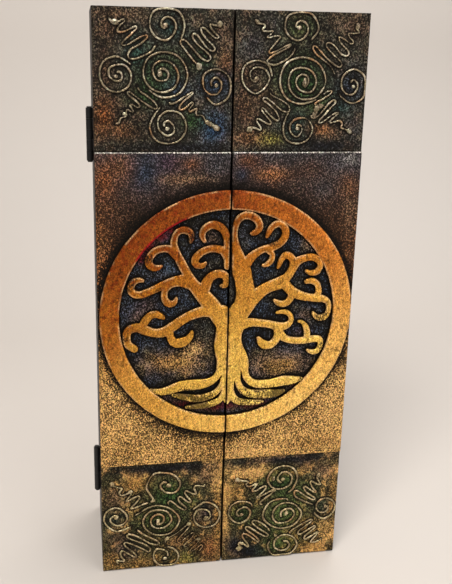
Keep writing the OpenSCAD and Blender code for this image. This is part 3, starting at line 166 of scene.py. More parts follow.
# A squiggle is a list of (x, z) points, from one end to the other.
SQUIGGLES = {
    "top_left": [
        [[-88.5, 442.1], [-86.2, 438.9], [-84.9, 438], [-81.4, 439.2], [-78, 441], [-77.8, 439.2],
         [-80.6, 436.7], [-82.3, 433.9], [-81.4, 432.3], [-76.7, 433.1], [-72.4, 435.4],
         [-69.8, 436.3], [-69.6, 434.6], [-73.9, 430.3], [-78.9, 425.6], [-79.2, 423.9],
         [-76, 423.9], [-70.3, 427.1], [-65.3, 429.9], [-61.9, 430.4], [-62.4, 428.5],
         [-67.4, 424.2], [-72.8, 421.4], [-75.1, 417.8], [-74.4, 415], [-70.3, 414.7],
         [-63.9, 417.1], [-58.9, 419.9], [-57.1, 422.4], [-55.4, 424.6]],
        [[-11.1, 441.4], [-10.4, 438.6], [-14.2, 438.1], [-17.8, 438.7], [-16.7, 435.6],
         [-13.5, 432.3], [-11.6, 430.4], [-13.5, 429.6], [-17.4, 432.3], [-21, 435.6],
         [-23.9, 436.4], [-24, 433.9], [-20.6, 429.2], [-15.6, 424.6], [-14.2, 422.1],
         [-16, 420.9], [-19.6, 422.8], [-23.5, 427.4], [-27.1, 431.4], [-29.4, 432.3],
         [-30.1, 429.9], [-26.7, 425.3], [-21.7, 421.4], [-17.8, 417.8], [-17.3, 415.3],
         [-19.9, 414.1], [-24.6, 416.7], [-30.3, 422.8], [-34.6, 427.1], [-37.6, 428.1],
         [-38.7, 426], [-35.3, 421.4], [-30.3, 415.3], [-25.6, 410.4]],
        [[-85.1, 370.1], [-82.3, 370.6], [-81, 373.5], [-78.9, 374.7], [-76.8, 375.6],
         [-77.1, 378.1], [-76.2, 379.9], [-73.9, 378.9], [-71.8, 378.3], [-72.8, 380.6],
         [-74.2, 383], [-72.4, 383.3], [-69, 381.4], [-67.3, 382.6], [-69.9, 386], [-74.2, 389.2],
         [-75.9, 391.4], [-74.2, 392.1], [-68.9, 388.1], [-62.4, 383.5], [-57, 380.7],
         [-54.9, 381.3], [-56.4, 384.6], [-61.7, 389.2], [-67.1, 392.8], [-69.2, 396.4]],
        [[-46.6, 385.6], [-44.9, 384.1], [-41, 385.4], [-35.6, 389], [-29.9, 392.2],
         [-30.6, 390.3], [-35.6, 386.4], [-39, 382.1], [-38.1, 379.9], [-34.6, 381.4],
         [-31, 384.7], [-29.4, 385.4], [-29.6, 383.5], [-32.1, 380.3], [-31.2, 378.7],
         [-28.9, 379.9], [-26.5, 380.9], [-27.1, 378.1], [-26.2, 376.3], [-22.5, 376],
         [-20.6, 373.5], [-18.9, 371.9], [-15.3, 370.3], [-10.3, 366.5]]
    ],
    "top_right": [
        [[14.4, 442.6], [15.8, 440.3], [20.2, 439.9], [21.5, 438.3], [19.8, 436.4], [20.6, 435.2],
         [24, 435.1], [27.5, 435.3], [25.8, 433], [23, 430.9], [25.4, 431], [29.7, 432],
         [32.9, 431.6], [31.1, 428.9], [27.2, 424.2], [25.1, 421.4], [26, 420.1], [30.4, 421.6],
         [36.1, 424.6], [40.8, 426.5], [39.4, 424.6], [32.6, 420.9], [27.2, 418], [24.1, 414.9],
         [25.6, 412.8], [30.4, 412.3], [36.9, 415.3], [42.2, 419.6], [44.4, 424.9]],
        [[90.1, 441], [89.6, 438.1], [91.3, 435.8], [87.6, 434.9], [83.5, 434.9], [84.4, 432.3],
         [87, 429.8], [87.2, 428.2], [85.1, 428], [80.8, 430.6], [77.8, 432.2], [76.3, 431.6],
         [78.3, 427.8], [83.3, 423.5], [84.5, 420.8], [82.6, 419.2], [78.3, 421], [74, 425.6],
         [70.1, 428.1], [67.4, 427.6], [67.9, 424.9], [72.6, 420.3], [78.3, 415.6], [79.7, 412.8],
         [77.9, 411.3], [73.3, 413.5], [66.9, 418.5], [61.9, 423.5], [58.9, 425.8], [57.4, 424.4],
         [59.7, 420.6], [65.4, 416.4], [71.1, 411.9], [75.1, 405.9]],
        [[11.9, 364.9], [13.3, 367.6], [17.2, 367.1], [20.6, 365.8], [21.1, 367.4],
         [18.3, 371.4], [17.4, 373.4], [19.7, 373.7], [24, 371.4], [27.4, 370], [28.5, 371.4],
         [25.8, 374.9], [21.9, 379.2], [21, 381.3], [22.6, 381.5], [26.9, 377.1], [31.1, 373.7],
         [33.7, 372.7], [34.5, 374.4], [31.9, 379.2], [26.5, 384.2], [22.4, 387.1],
         [22.4, 388.7], [24.7, 388.8], [29.7, 385.3], [35.4, 380.6], [40.2, 378.9], [42, 379.9],
         [41.1, 383.5], [36.1, 387.1], [30.4, 389.7], [27.6, 391.4], [26.7, 393.5]],
        [[90.1, 363.7], [86.5, 366.1], [82.2, 367.8], [82.9, 370.3], [81.1, 372.8], [77.2, 372.1],
         [73.5, 371.2], [74.4, 373.5], [78.3, 377.1], [79.8, 378.6], [77.2, 378.3], [72.6, 375.6],
         [68.6, 372.3], [65.3, 371.1], [65, 372.8], [68.3, 376.4], [72.9, 381.7], [76.7, 386],
         [75.6, 387.6], [72.9, 386.4], [68.6, 381.4], [64.7, 376.9], [61, 374.6], [58.8, 376],
         [62.8, 378.6], [61.3, 381.2], [65, 382.6], [61.2, 384.8], [63.3, 386.6], [67.6, 388.9],
         [72.6, 392.4], [73.1, 394.4], [69.7, 393.7], [66.4, 391.3]]
    ],
    "bottom_left": [
        [[-92.4, 83.9], [-90.6, 81], [-86.7, 78.9], [-83.5, 77.8], [-84.9, 75.6], [-85.6, 73.1],
         [-83.5, 71.3], [-79.6, 72.4], [-76.6, 74.2], [-76.1, 72.4], [-78.1, 68.9],
         [-80.3, 65.4], [-76.4, 66.9], [-72.4, 69], [-69.8, 69.5], [-69.4, 67.1], [-73.1, 62.8],
         [-76.4, 58.6], [-73.1, 58.9], [-67.4, 61.2], [-61.7, 63]],
        [[-14.9, 76.4], [-16.4, 74.6], [-19.6, 75.1], [-23.1, 75.4], [-24.2, 73.1],
         [-23.1, 70.3], [-22.8, 67.8], [-25.6, 68.2], [-28.9, 70.3], [-30.9, 71.3],
         [-31.9, 69.2], [-29.6, 65.3], [-26.9, 61.6], [-28.1, 60.1], [-31.7, 62.6],
         [-35.3, 66.1], [-37.4, 64.9], [-36.4, 61.4], [-32.1, 57.1], [-30.7, 54.8],
         [-32.4, 53.6], [-36.7, 56.4], [-40.6, 60.3], [-43.9, 62.9], [-45.8, 61.4],
         [-44.9, 59]],
        [[-71.4, 38.1], [-67.4, 34.2], [-61.7, 30.3], [-56, 26.7], [-53.2, 23.9], [-54.9, 22.4],
         [-60.3, 23.9], [-66.7, 28.5], [-72.4, 32.4], [-77.4, 34.5], [-79.9, 33.3],
         [-78.1, 30.6], [-71, 26.7], [-64.6, 23.1], [-60.6, 19.2], [-61.9, 16.2],
         [-66.7, 19.2], [-73.9, 23.7], [-80.3, 26.9], [-82.3, 26], [-81, 23.1], [-76, 18.1],
         [-72.4, 13.7], [-73.5, 12.2], [-78.1, 15.3], [-82.9, 18.9], [-85.2, 17.9],
         [-84.9, 13.9], [-82.1, 9.4], [-85.3, 9.5], [-88.5, 10.2], [-87.2, 6.6]],
        [[-48.5, 22.5], [-47.5, 26.2], [-45, 28.2], [-38, 32], [-32, 37], [-28.8, 39.6],
         [-27.3, 38], [-31, 33], [-36, 27.4], [-37.6, 24], [-35.6, 22.8], [-30, 27],
         [-25.4, 30.8], [-23.6, 29.4], [-27, 24.8], [-31.5, 20.4], [-32, 18.2], [-29.6, 18.4],
         [-25, 21.8], [-21, 24.6], [-19.4, 23.4], [-22.4, 19], [-26.6, 14.8], [-26, 13],
         [-22, 15], [-18, 18.2], [-16.2, 17.2], [-18, 14.2], [-20, 11.8]]
    ],
    "bottom_right": [
        [[11.7, 78], [16.5, 76.7], [21.6, 75.6], [20, 73.9], [20, 71.9], [22.2, 70.8],
         [25.8, 71.9], [28.2, 72.8], [27.6, 70.3], [25.4, 67.8], [25.6, 65.9], [29, 66.7],
         [33.3, 69.4], [36.3, 70], [36.6, 67.8], [34, 64.6], [30.6, 60.8], [34.7, 61.9],
         [39, 64], [42.4, 65.2], [41.7, 62.4], [36.9, 58.9], [32.6, 55.3], [32.9, 52.9],
         [35, 53.6]],
        [[82.2, 77.1], [81.1, 74.2], [82.9, 70.6], [84.3, 67.8], [81.1, 68.5], [78.3, 70.3],
         [76.2, 71.6], [75.5, 69.6], [77.9, 64.9], [80.8, 61], [79, 60.9], [74, 64.8],
         [70.6, 67], [69.9, 65.3], [72.6, 61], [77.2, 57.4], [80.5, 54.6], [78.3, 53.6],
         [72.6, 56.9], [67.6, 61], [63.8, 63.5], [61.6, 62.1], [62.9, 58.1], [67.6, 54.6],
         [73.3, 51.4], [79.4, 48.8]],
        [[16.1, 8.9], [13.1, 12.1], [17.8, 11.6], [15, 15.4], [16, 17.4], [19.7, 15.3],
         [23.2, 12.5], [22.7, 15.3], [19.4, 20.3], [17.7, 23.9], [19.4, 25.7], [23.6, 23.5],
         [28.3, 19.4], [31.7, 16.4], [32.2, 18.5], [28.6, 22.8], [23.3, 27.4], [20.4, 30.6],
         [21.9, 32.4], [26.9, 29.2], [32.6, 24.6], [38.3, 21.3], [40.8, 22.5], [38.3, 24.9],
         [32.6, 29.2], [27.2, 34.2], [26, 36.8], [28.3, 37.8], [33.3, 35.3], [39, 30.3],
         [42.4, 25.4]],
        [[59.4, 21.6], [60.6, 24.6], [65.4, 27.8], [71.9, 31.7], [77.6, 34.3], [78.8, 32.8],
         [74, 28.9], [68.3, 24.7], [66.9, 21.6], [69.4, 20.6], [74.7, 23.9], [80.8, 27.5],
         [81.9, 26], [77.6, 22.1], [73, 17.8], [73.7, 15.1], [78.3, 17.4], [83.7, 21.1],
         [84.4, 19.9], [81.1, 15.5], [78.9, 11.8], [83.3, 11.6], [88, 13.9], [88.3, 12.6]]
    ],
}
# Lumps of clay on the cords: (x, z, radius, stretch, direction of the stretch in degrees)
LUMPS = {
    "top_left": {
        "centre": [(-53.0, 404.6, 1.6, 1.2, 60)],
        "outer": [(-49.5, 437.4, 1.9, 1.1, 0), (-47.6, 366.6, 1.5, 1.1, 20),
                  (-83.8, 402.6, 1.4, 1.1, 0), (-12.6, 397.2, 1.4, 1.1, 90)],
        "squiggles": [(-84.0, 439.0, 1.9, 1.4, 150), (-11.0, 439.0, 2.0, 1.2, 60),
                      (-25.2, 410.2, 2.2, 1.2, 90), (-17.5, 370.6, 1.7, 1.9, 150),
                      (-12.5, 367.6, 2.0, 1.7, 150), (-78.0, 377.0, 1.3, 1.3, 30)],
    },
    "top_right": {
        "centre": [(52.6, 400.0, 1.8, 2.0, 85)],
        "outer": [(46.5, 438.0, 1.6, 1.1, 0), (16.5, 402.2, 1.7, 1.2, 40),
                  (89.6, 397.6, 1.4, 1.1, 0), (48.8, 366.9, 1.5, 1.1, 0)],
        "squiggles": [(90.0, 440.0, 1.7, 1.4, 80), (12.7, 366.4, 2.0, 1.3, 40),
                      (88.8, 365.0, 1.7, 1.4, 140), (62.5, 381.6, 2.1, 1.4, 70),
                      (65.5, 383.4, 1.8, 1.2, 20), (61.0, 377.2, 1.6, 1.3, 110),
                      (15.6, 441.4, 1.5, 1.3, 140)],
    },
    "bottom_left": {
        "centre": [(-54.0, 44.6, 1.6, 1.7, 90)],
        "outer": [(-45.5, 77.5, 1.9, 1.2, 20), (-88.4, 51.0, 1.5, 1.2, 0),
                  (-13.6, 44.6, 1.5, 1.2, 0), (-48.4, 8.4, 1.6, 1.2, 0)],
        "squiggles": [(-91.4, 82.5, 1.9, 1.3, 120), (-76.6, 74.0, 1.6, 1.2, 0),
                      (-58.4, 64.4, 1.5, 1.5, 30), (-46.6, 27.4, 1.6, 1.3, 40),
                      (-28.2, 39.8, 1.7, 1.2, 0), (-19.8, 24.4, 1.5, 1.2, 0)],
    },
    "bottom_right": {
        "centre": [(55.6, 42.6, 1.5, 1.6, 80)],
        "outer": [(51.0, 75.4, 1.6, 1.2, 0), (43.0, 76.6, 1.3, 1.8, 90),
                  (16.6, 44.6, 1.5, 1.2, 0), (90.0, 46.0, 1.5, 1.2, 0),
                  (47.2, 21.4, 1.4, 1.2, 0)],
        "squiggles": [(12.4, 77.8, 1.9, 1.3, 160), (28.0, 72.4, 1.6, 1.2, 0),
                      (43.2, 65.4, 1.8, 1.3, 20), (30.2, 60.2, 1.6, 1.2, 0),
                      (84.0, 20.4, 1.5, 1.2, 0), (82.0, 77.0, 1.6, 1.4, 70),
                      (15.4, 11.8, 1.9, 1.2, 30), (17.6, 16.4, 1.6, 1.2, 0)],
    },
}

# ---------------------------------------------------------------- smooth noise
# Cells along each side of the table of random values, after which it repeats
TABLE = 128
# Cells by which the plane's origin is moved into the table
OFFSET = 40.0


def noise(x, z, cell, seed):
    """Smooth noise from -1 to 1 over the plane of the doors, with features about cell mm wide."""
    table = np.random.default_rng(seed).uniform(-1, 1, (TABLE, TABLE))
    u = np.asarray(x, float) / cell + OFFSET
    v = np.asarray(z, float) / cell + OFFSET
    i, j = np.floor(u).astype(int), np.floor(v).astype(int)
    s, t = u - i, v - j
    s, t = s * s * (3 - 2 * s), t * t * (3 - 2 * t)
    i0, i1, j0, j1 = i % TABLE, (i + 1) % TABLE, j % TABLE, (j + 1) % TABLE
    low = table[i0, j0] * (1 - s) + table[i1, j0] * s
    high = table[i0, j1] * (1 - s) + table[i1, j1] * s
    return low * (1 - t) + high * t


def cloud(x, z, cell, seed):
    """Noise with finer noise over it, for patches about cell mm wide"""
    return (
        0.6 * noise(x, z, cell, seed)
        + 0.3 * noise(x, z, cell / 2, seed + 1)
        + 0.15 * noise(x, z, cell / 4, seed + 2)
    )


def smoothstep(low, high, value):
    t = np.clip((value - low) / (high - low), 0, 1)
    return t * t * (3 - 2 * t)


def blend(a, b, share):
    """Colours a and b, one for each point or for all, mixed by the share of b at each point"""
    share = share[:, None]
    return a * (1 - share) + b * share


def ramp(value, stops, colours):
    """The colour at each value, between the colours at the stops"""
    table = np.array(colours)
    return np.stack([np.interp(value, stops, table[:, k]) for k in range(3)], 1)


def bump_at(x, z, at_x, at_z, reach_x, reach_z):
    """1 at a place, and less round it"""
    return np.exp(-(((x - at_x) / reach_x) ** 2 + ((z - at_z) / reach_z) ** 2))


# ---------------------------------------------------------------- paint colours
def linear(r, g, b):
    """An 8-bit colour as linear RGB."""
    c = np.array((r, g, b), float) / 255
    return np.where(c <= 0.04045, c / 12.92, ((c + 0.055) / 1.055) ** 2.4)


PAINTS = {
    "night": linear(44, 46, 58),
    "slate": linear(88, 84, 86),
    "umber": linear(92, 86, 72),
    "olive": linear(104, 96, 62),
    "steel": linear(70, 80, 96),
    "blue": linear(54, 78, 104),
    "teal": linear(44, 86, 82),
    "green": linear(56, 92, 46),
    "moss": linear(88, 108, 56),
    "purple": linear(96, 68, 88),
    "brown": linear(112, 78, 56),
    "rust": linear(152, 90, 46),
    "copper": linear(168, 108, 62),
    "tan": linear(150, 114, 84),
    "ochre": linear(186, 138, 74),
    "gold": linear(222, 172, 102),
    "lemon": linear(176, 162, 70),
    "oxblood": linear(96, 22, 22),
    "silver": linear(206, 198, 186),
}

# A daub is (x, z, reach along x, reach along z, paint, strength, change in cover).
PANEL_DAUBS = {
    "left": [
        (-93, 330, 9, 16, "rust", 0.8, 0.1), (-96, 285, 6, 30, "copper", 0.6, 0.05),
        (-78, 338, 9, 9, "copper", 0.7, 0.05), (-64, 334, 11, 14, "blue", 0.7, 0.0),
        (-47, 342, 9, 7, "purple", 0.6, 0.0), (-30, 341, 9, 6, "rust", 0.6, 0.1),
        (-33, 330, 20, 4, "tan", 0.9, 0.18), (-12, 341, 10, 8, "slate", 0.8, 0.1),
        (-84, 305, 8, 10, "brown", 0.6, 0.0), (-96, 235, 5, 30, "copper", 0.8, 0.1),
        (-94, 185, 8, 18, "ochre", 0.8, 0.1), (-52, 104, 26, 6, "gold", 0.6, 0.06),
        (-14, 108, 14, 12, "ochre", 0.5, -0.12), (-90, 128, 10, 20, "gold", 0.8, 0.1),
        (-80, 110, 14, 7, "ochre", 0.5, -0.03),
    ],
    "right": [
        (30, 333, 18, 6, "copper", 0.8, 0.22), (12, 343, 9, 6, "rust", 0.6, 0.05),
        (8, 333, 6, 6, "blue", 0.6, 0.0), (60, 337, 13, 9, "brown", 0.6, 0.05),
        (88, 342, 12, 8, "slate", 0.7, 0.15), (92, 324, 8, 8, "copper", 0.5, 0.05),
        (70, 322, 10, 8, "slate", 0.6, 0.0), (94, 300, 6, 14, "tan", 0.7, 0.0),
        (97, 262, 3, 18, "brown", 0.6, -0.05), (96, 185, 6, 12, "brown", 0.6, -0.05),
        (22, 104, 26, 5, "gold", 1.0, 0.3), (52, 117, 20, 8, "gold", 0.8, 0.1),
        (94, 136, 8, 22, "gold", 0.9, 0.2), (76, 108, 20, 7, "ochre", 0.6, -0.05),
        (92, 345, 6, 4, "silver", 0.3, 0.1),
    ],
}
# The sunk floor between the branches
FLOOR_DAUBS = [
    (-42, 186, 24, 9, "ochre", 0.9, 0.34), (-28, 196, 9, 9, "gold", 0.8, 0.24),
    (44, 180, 26, 10, "ochre", 0.8, 0.32), (-62, 230, 9, 9, "brown", 0.7, 0.15),
    (-70, 222, 8, 5, "tan", 0.6, 0.2), (65, 281, 9, 7, "tan", 0.8, 0.35),
    (62, 222, 8, 5, "tan", 0.6, 0.2), (-14, 285, 9, 8, "brown", 0.6, 0.08),
    (-50, 262, 10, 8, "blue", 0.8, 0.14), (-58, 258, 10, 5, "slate", 0.7, 0.18),
    (30, 262, 10, 7, "blue", 0.6, 0.08), (12, 288, 7, 8, "slate", 0.7, 0.14),
    (50, 262, 8, 6, "purple", 0.4, 0.05), (-45, 228, 14, 8, "blue", 0.6, 0.05),
    (60, 208, 10, 5, "purple", 0.5, 0.05), (-78, 190, 6, 12, "night", 0.8, -0.1),
]
# Red glaze over the black, by the ring's inner side
GLAZE_DAUBS = [
    (-52, 287, 7, 4, "oxblood", 1.0, 0.9), (-60, 279, 6, 5, "oxblood", 1.0, 0.9),
    (-44, 292, 6, 3, "oxblood", 1.0, 0.7), (-67, 270, 5, 5, "oxblood", 1.0, 0.7),
    (-30, 149, 26, 5, "oxblood", 1.0, 0.55), (-8, 146, 10, 4, "oxblood", 0.9, 0.4),
    (22, 147, 20, 4, "oxblood", 0.9, 0.4), (60, 161, 9, 6, "oxblood", 0.9, 0.6),
    (-58, 157, 10, 5, "oxblood", 0.9, 0.5),
]
TILE_DAUBS = {
    "top_left": [
        (-93, 375, 9, 14, "rust", 0.9, 0.15), (-80, 366, 10, 7, "copper", 0.5, 0.08),
        (-92, 408, 7, 18, "brown", 0.6, 0.1), (-70, 418, 12, 12, "teal", 0.7, 0.0),
        (-52, 404, 18, 16, "green", 0.6, 0.02), (-40, 392, 10, 10, "blue", 0.7, 0.1),
        (-62, 390, 10, 8, "green", 0.8, 0.05), (-14, 366, 13, 13, "blue", 1.0, 0.15),
        (-12, 398, 14, 12, "blue", 0.8, 0.05), (-24, 414, 12, 8, "green", 0.6, 0.05),
        (-6, 430, 7, 14, "brown", 0.5, 0.1), (-46, 436, 12, 10, "teal", 0.7, 0.0),
        (-88, 438, 9, 9, "brown", 0.6, 0.1), (-47, 368, 12, 12, "umber", 0.5, 0.0),
        (-30, 372, 8, 8, "green", 0.8, 0.05), (-40, 353, 40, 3, "night", 0.8, -0.15),
        (-78, 444, 16, 5, "tan", 0.6, 0.12), (-6, 412, 6, 8, "copper", 0.5, 0.1),
    ],
    "top_right": [
        (8, 382, 9, 16, "brown", 0.8, 0.15), (14, 424, 9, 11, "slate", 0.8, 0.1),
        (8, 405, 7, 8, "brown", 0.6, 0.1), (30, 359, 9, 4, "lemon", 0.7, 0.14),
        (50, 400, 19, 18, "green", 0.9, 0.05), (24, 388, 10, 9, "tan", 0.5, 0.08),
        (48, 368, 12, 11, "teal", 0.7, 0.0), (67, 366, 10, 5, "copper", 0.7, 0.15),
        (72, 354, 26, 4, "night", 0.8, -0.15),
        (92, 366, 8, 10, "slate", 0.6, 0.1), (88, 398, 12, 12, "blue", 0.6, 0.05),
        (76, 424, 12, 11, "umber", 0.6, 0.1), (46, 438, 12, 10, "moss", 0.6, 0.05),
        (90, 440, 9, 8, "brown", 0.6, 0.1), (64, 384, 9, 8, "moss", 0.6, 0.1),
        (12, 360, 9, 6, "copper", 0.5, 0.05), (80, 382, 9, 7, "teal", 0.6, 0.0),
        (28, 440, 9, 7, "slate", 0.5, 0.05),
    ],
    "bottom_left": [
        (-73, 82, 11, 9, "ochre", 1.0, 0.2), (-10, 14, 11, 14, "copper", 0.8, 0.16),
        (-30, 6, 8, 5, "lemon", 0.5, 0.12), (-54, 44, 17, 15, "moss", 0.9, 0.04),
        (-44, 68, 15, 12, "green", 0.9, 0.0), (-86, 30, 10, 9, "brown", 0.7, 0.1),
        (-90, 66, 8, 10, "tan", 0.7, 0.1), (-14, 84, 12, 8, "tan", 0.8, 0.15),
        (-14, 50, 11, 13, "night", 0.9, -0.1), (-36, 24, 12, 9, "brown", 0.7, 0.1),
        (-4, 50, 3, 36, "ochre", 0.9, 0.2), (-92, 10, 9, 9, "ochre", 0.8, 0.15),
        # The wide night daub along the tile's top edge, at z 93, is painted shadow under the proud
        # centre panel.
        (-70, 6, 12, 6, "ochre", 0.7, 0.15), (-50, 93, 50, 5, "night", 0.9, -0.2),
        (-4, 80, 6, 16, "gold", 0.7, 0.15), (-28, 60, 9, 8, "moss", 0.6, 0.05),
        (-88, 48, 9, 9, "teal", 0.5, -0.05), (-80, 20, 9, 9, "slate", 0.8, -0.05),
    ],
    "bottom_right": [
        (24, 85, 18, 5, "gold", 1.0, 0.35), (3, 48, 4, 40, "gold", 1.0, 0.35),
        (24, 7, 17, 8, "night", 1.0, -0.2), (92, 22, 9, 12, "gold", 0.9, 0.2),
        (54, 42, 19, 17, "moss", 0.9, 0.14), (50, 74, 14, 12, "green", 0.8, 0.02),
        (16, 46, 12, 11, "green", 0.7, 0.0), (90, 46, 10, 10, "teal", 0.5, 0.0),
        (88, 80, 11, 9, "tan", 0.8, 0.15), (10, 66, 10, 9, "ochre", 0.8, 0.2),
        (70, 88, 16, 5, "brown", 0.6, 0.1), (52, 14, 15, 12, "green", 0.9, 0.0),
        # The wide night daub along the tile's top edge, at z 94, is painted shadow under the proud
        # centre panel.
        (80, 6, 14, 6, "ochre", 0.8, 0.15), (50, 94, 50, 4.5, "night", 0.9, -0.22),
        (96, 60, 4, 26, "ochre", 0.8, 0.15),
        (72, 62, 11, 9, "moss", 0.6, 0.1), (12, 14, 9, 12, "night", 0.9, -0.1),
        (74, 28, 12, 9, "ochre", 0.5, 0.1),
    ],
}
# Heights, with the paint that the centre panels have there
PANEL_HEIGHTS = (98, 165, 205, 250, 300, 350)
PANEL_PAINTS = ("gold", "gold", "ochre", "copper", "brown", "slate")
# Brightness of the ring and the tree, from red copper to pale gold, with its paint
RELIEF_LEVELS = (110, 135, 165, 185, 217, 237, 252)
RELIEF_PAINTS = (
    linear(106, 46, 14), linear(136, 68, 19), linear(166, 94, 28), linear(187, 114, 40),
    linear(219, 154, 70), linear(240, 178, 92), linear(253, 192, 108),
)
RED_SPECK = linear(116, 34, 14)


def daubed(x, z, colour, cover, daubs, seed):
    """Lays the daubs over a colour and a cover, with ragged edges."""
    ragged = 1 + 0.75 * cloud(x, z, 11, seed)
    for cx, cz, rx, rz, paint, strength, more in daubs:
        near = bump_at(x, z, cx, cz, rx, rz) ** ragged
        colour = blend(colour, PAINTS[paint], np.clip(strength * near, 0, 1))
        cover = cover + more * near
    return colour, cover


def relief_colour(x, z, seed, lift, yellow):
    """Copper to gold; lift makes it brighter, and yellow turns it from red to yellow."""
    reddish = smoothstep(-40, 60, -0.9 * x + (z - 262))
    # The level, and with it the brightness, rises towards the bottom and towards the right.
    level = 194 + lift * (1 - 2 * smoothstep(255, 300, z)) + 0.32 * x - 0.5 * (z - RING_Z)
    level += (8 + 10 * reddish) * cloud(x, z, 14, seed)
    level += 17 * bump_at(x, z, -78, 172, 26, 26)
    level -= 14 * bump_at(x, z, 74, 264, 26, 30)
    level += 13 * bump_at(x, z, 0, 195, 14, 30)
    colour = ramp(level, RELIEF_LEVELS, RELIEF_PAINTS)
    colour[:, 1] *= yellow + 0.0012 * (RING_Z - z)
    # Red clouds and specks, thickest at the upper left
    specks = smoothstep(0.12, 0.4, cloud(x, z, 2.6, seed + 7))
    clouds = smoothstep(0.05, 0.5, cloud(x, z, 8, seed + 15))
    colour = blend(colour, RED_SPECK, 0.6 * np.maximum(specks, 0.8 * clouds) * reddish)
    pits = smoothstep(0.4, 0.65, cloud(x, z, 2.8, seed + 11))
    return colour * (1 - 0.6 * pits[:, None])


# ---------------------------------------------------------------- meshes
def add_attribute(mesh, name, values):
    values = np.asarray(values, np.float32)
    if values.ndim == 2:
        rgba = np.concatenate([values, np.ones((len(values), 1), np.float32)], 1)
        layer = mesh.attributes.new(name, "FLOAT_COLOR", "POINT")
        layer.data.foreach_set("color", np.clip(rgba, 0, 1).ravel())
    else:
        layer = mesh.attributes.new(name, "FLOAT", "POINT")
        layer.data.foreach_set("value", values)


def add_paint(mesh, paint, cover, wash, depth):
    """What painted_clay reads from a mesh, point by point"""
    add_attribute(mesh, "paint", paint)
    add_attribute(mesh, "cover", cover)
    add_attribute(mesh, "wash", wash)
    add_attribute(mesh, "depth", depth)


def make_object(name, verts_mm, faces):
    mesh = bpy.data.meshes.new(name)
    mesh.from_pydata((np.asarray(verts_mm) * MM).tolist(), [], faces)
    mesh.validate()
    mesh.update()
    mesh.shade_smooth()
    obj = bpy.data.objects.new(name, mesh)
    bpy.context.scene.collection.objects.link(obj)
    return obj


def verts_of(mesh):
    co = np.zeros(len(mesh.vertices) * 3, np.float32)
    mesh.vertices.foreach_get("co", co)
    return co.reshape(-1, 3).astype(float) / MM


def place(obj, body, material, node):
    obj.data.materials.clear()
    obj.data.materials.append(material)
    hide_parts(node)
    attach(obj, body)


def box_mm(node):
    low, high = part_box(node)
    return np.array(low) / MM, np.array(high) / MM


def outline(node):
    """Points every 0.4 mm or less along the front outline of a flat relief."""
    mesh = NODES[node].data
    co = verts_of(mesh)
    front = co[:, 1].min()
    points = []
    for face in mesh.polygons:
        if abs(face.normal.y) > 0.5:
            continue
        ids = list(face.vertices)
        for a, b in zip(ids, ids[1:] + ids[:1]):
            if co[a, 1] < front + 0.05 and co[b, 1] < front + 0.05:
                steps = max(1, math.ceil(np.linalg.norm(co[a] - co[b]) / 0.4))
                for k in range(steps):
                    points.append(co[a, [0, 2]] + (co[b] - co[a])[[0, 2]] * k / steps)
    return np.array(points)


def distances(x, z, points):
    tree = KDTree(len(points))
    for i, p in enumerate(points):
        tree.insert((p[0], p[1], 0), i)
    tree.balance()
    return np.array([tree.find((a, b, 0))[2] for a, b in zip(x.tolist(), z.tolist())])


# ---------------------------------------------------------------- cords
def smooth_path(points, steps):
    p = np.array(points, float)
    out = []
    for i in range(len(p) - 1):
        a, b, c, d = p[max(i - 1, 0)], p[i], p[i + 1], p[min(i + 2, len(p) - 1)]
        for k in range(steps):
            t = k / steps
            out.append(
                (2 * b + (c - a) * t + (2 * a - 5 * b + 4 * c - d) * t * t
                 + (3 * b - a - 3 * c + d) * t**3) / 2
            )
    out.append(p[-1])
    return np.array(out)


def even_path(points, spacing):
    path = smooth_path(points, 12)
    run = np.concatenate([[0], np.cumsum(np.linalg.norm(np.diff(path, axis=0), axis=1))])
    n = max(3, round(run[-1] / spacing))
    at = np.linspace(0, run[-1], n + 1)
    return np.stack([np.interp(at, run, path[:, k]) for k in range(2)], 1)


def spiral_route(spiral):
    centre, start, turn, radii, tail = spiral
    return list(tail) + [
        (centre[0] + r * math.cos(math.radians(start + i * turn)),
         centre[1] + r * math.sin(math.radians(start + i * turn)))
        for i, r in enumerate(radii)
    ]


CORD_SIDES = 10
CORD_SPACING = 0.6
CORD_R = 0.78
# Where a cord's middle lies above its tile, and how tall it is for its width
CORD_RISE = 0.3
CORD_TALL = 0.95
# Radii of a cord's rings at its very ends, as parts of the cord's own radius
END_SHAPE = (0.3, 0.72, 0.93)


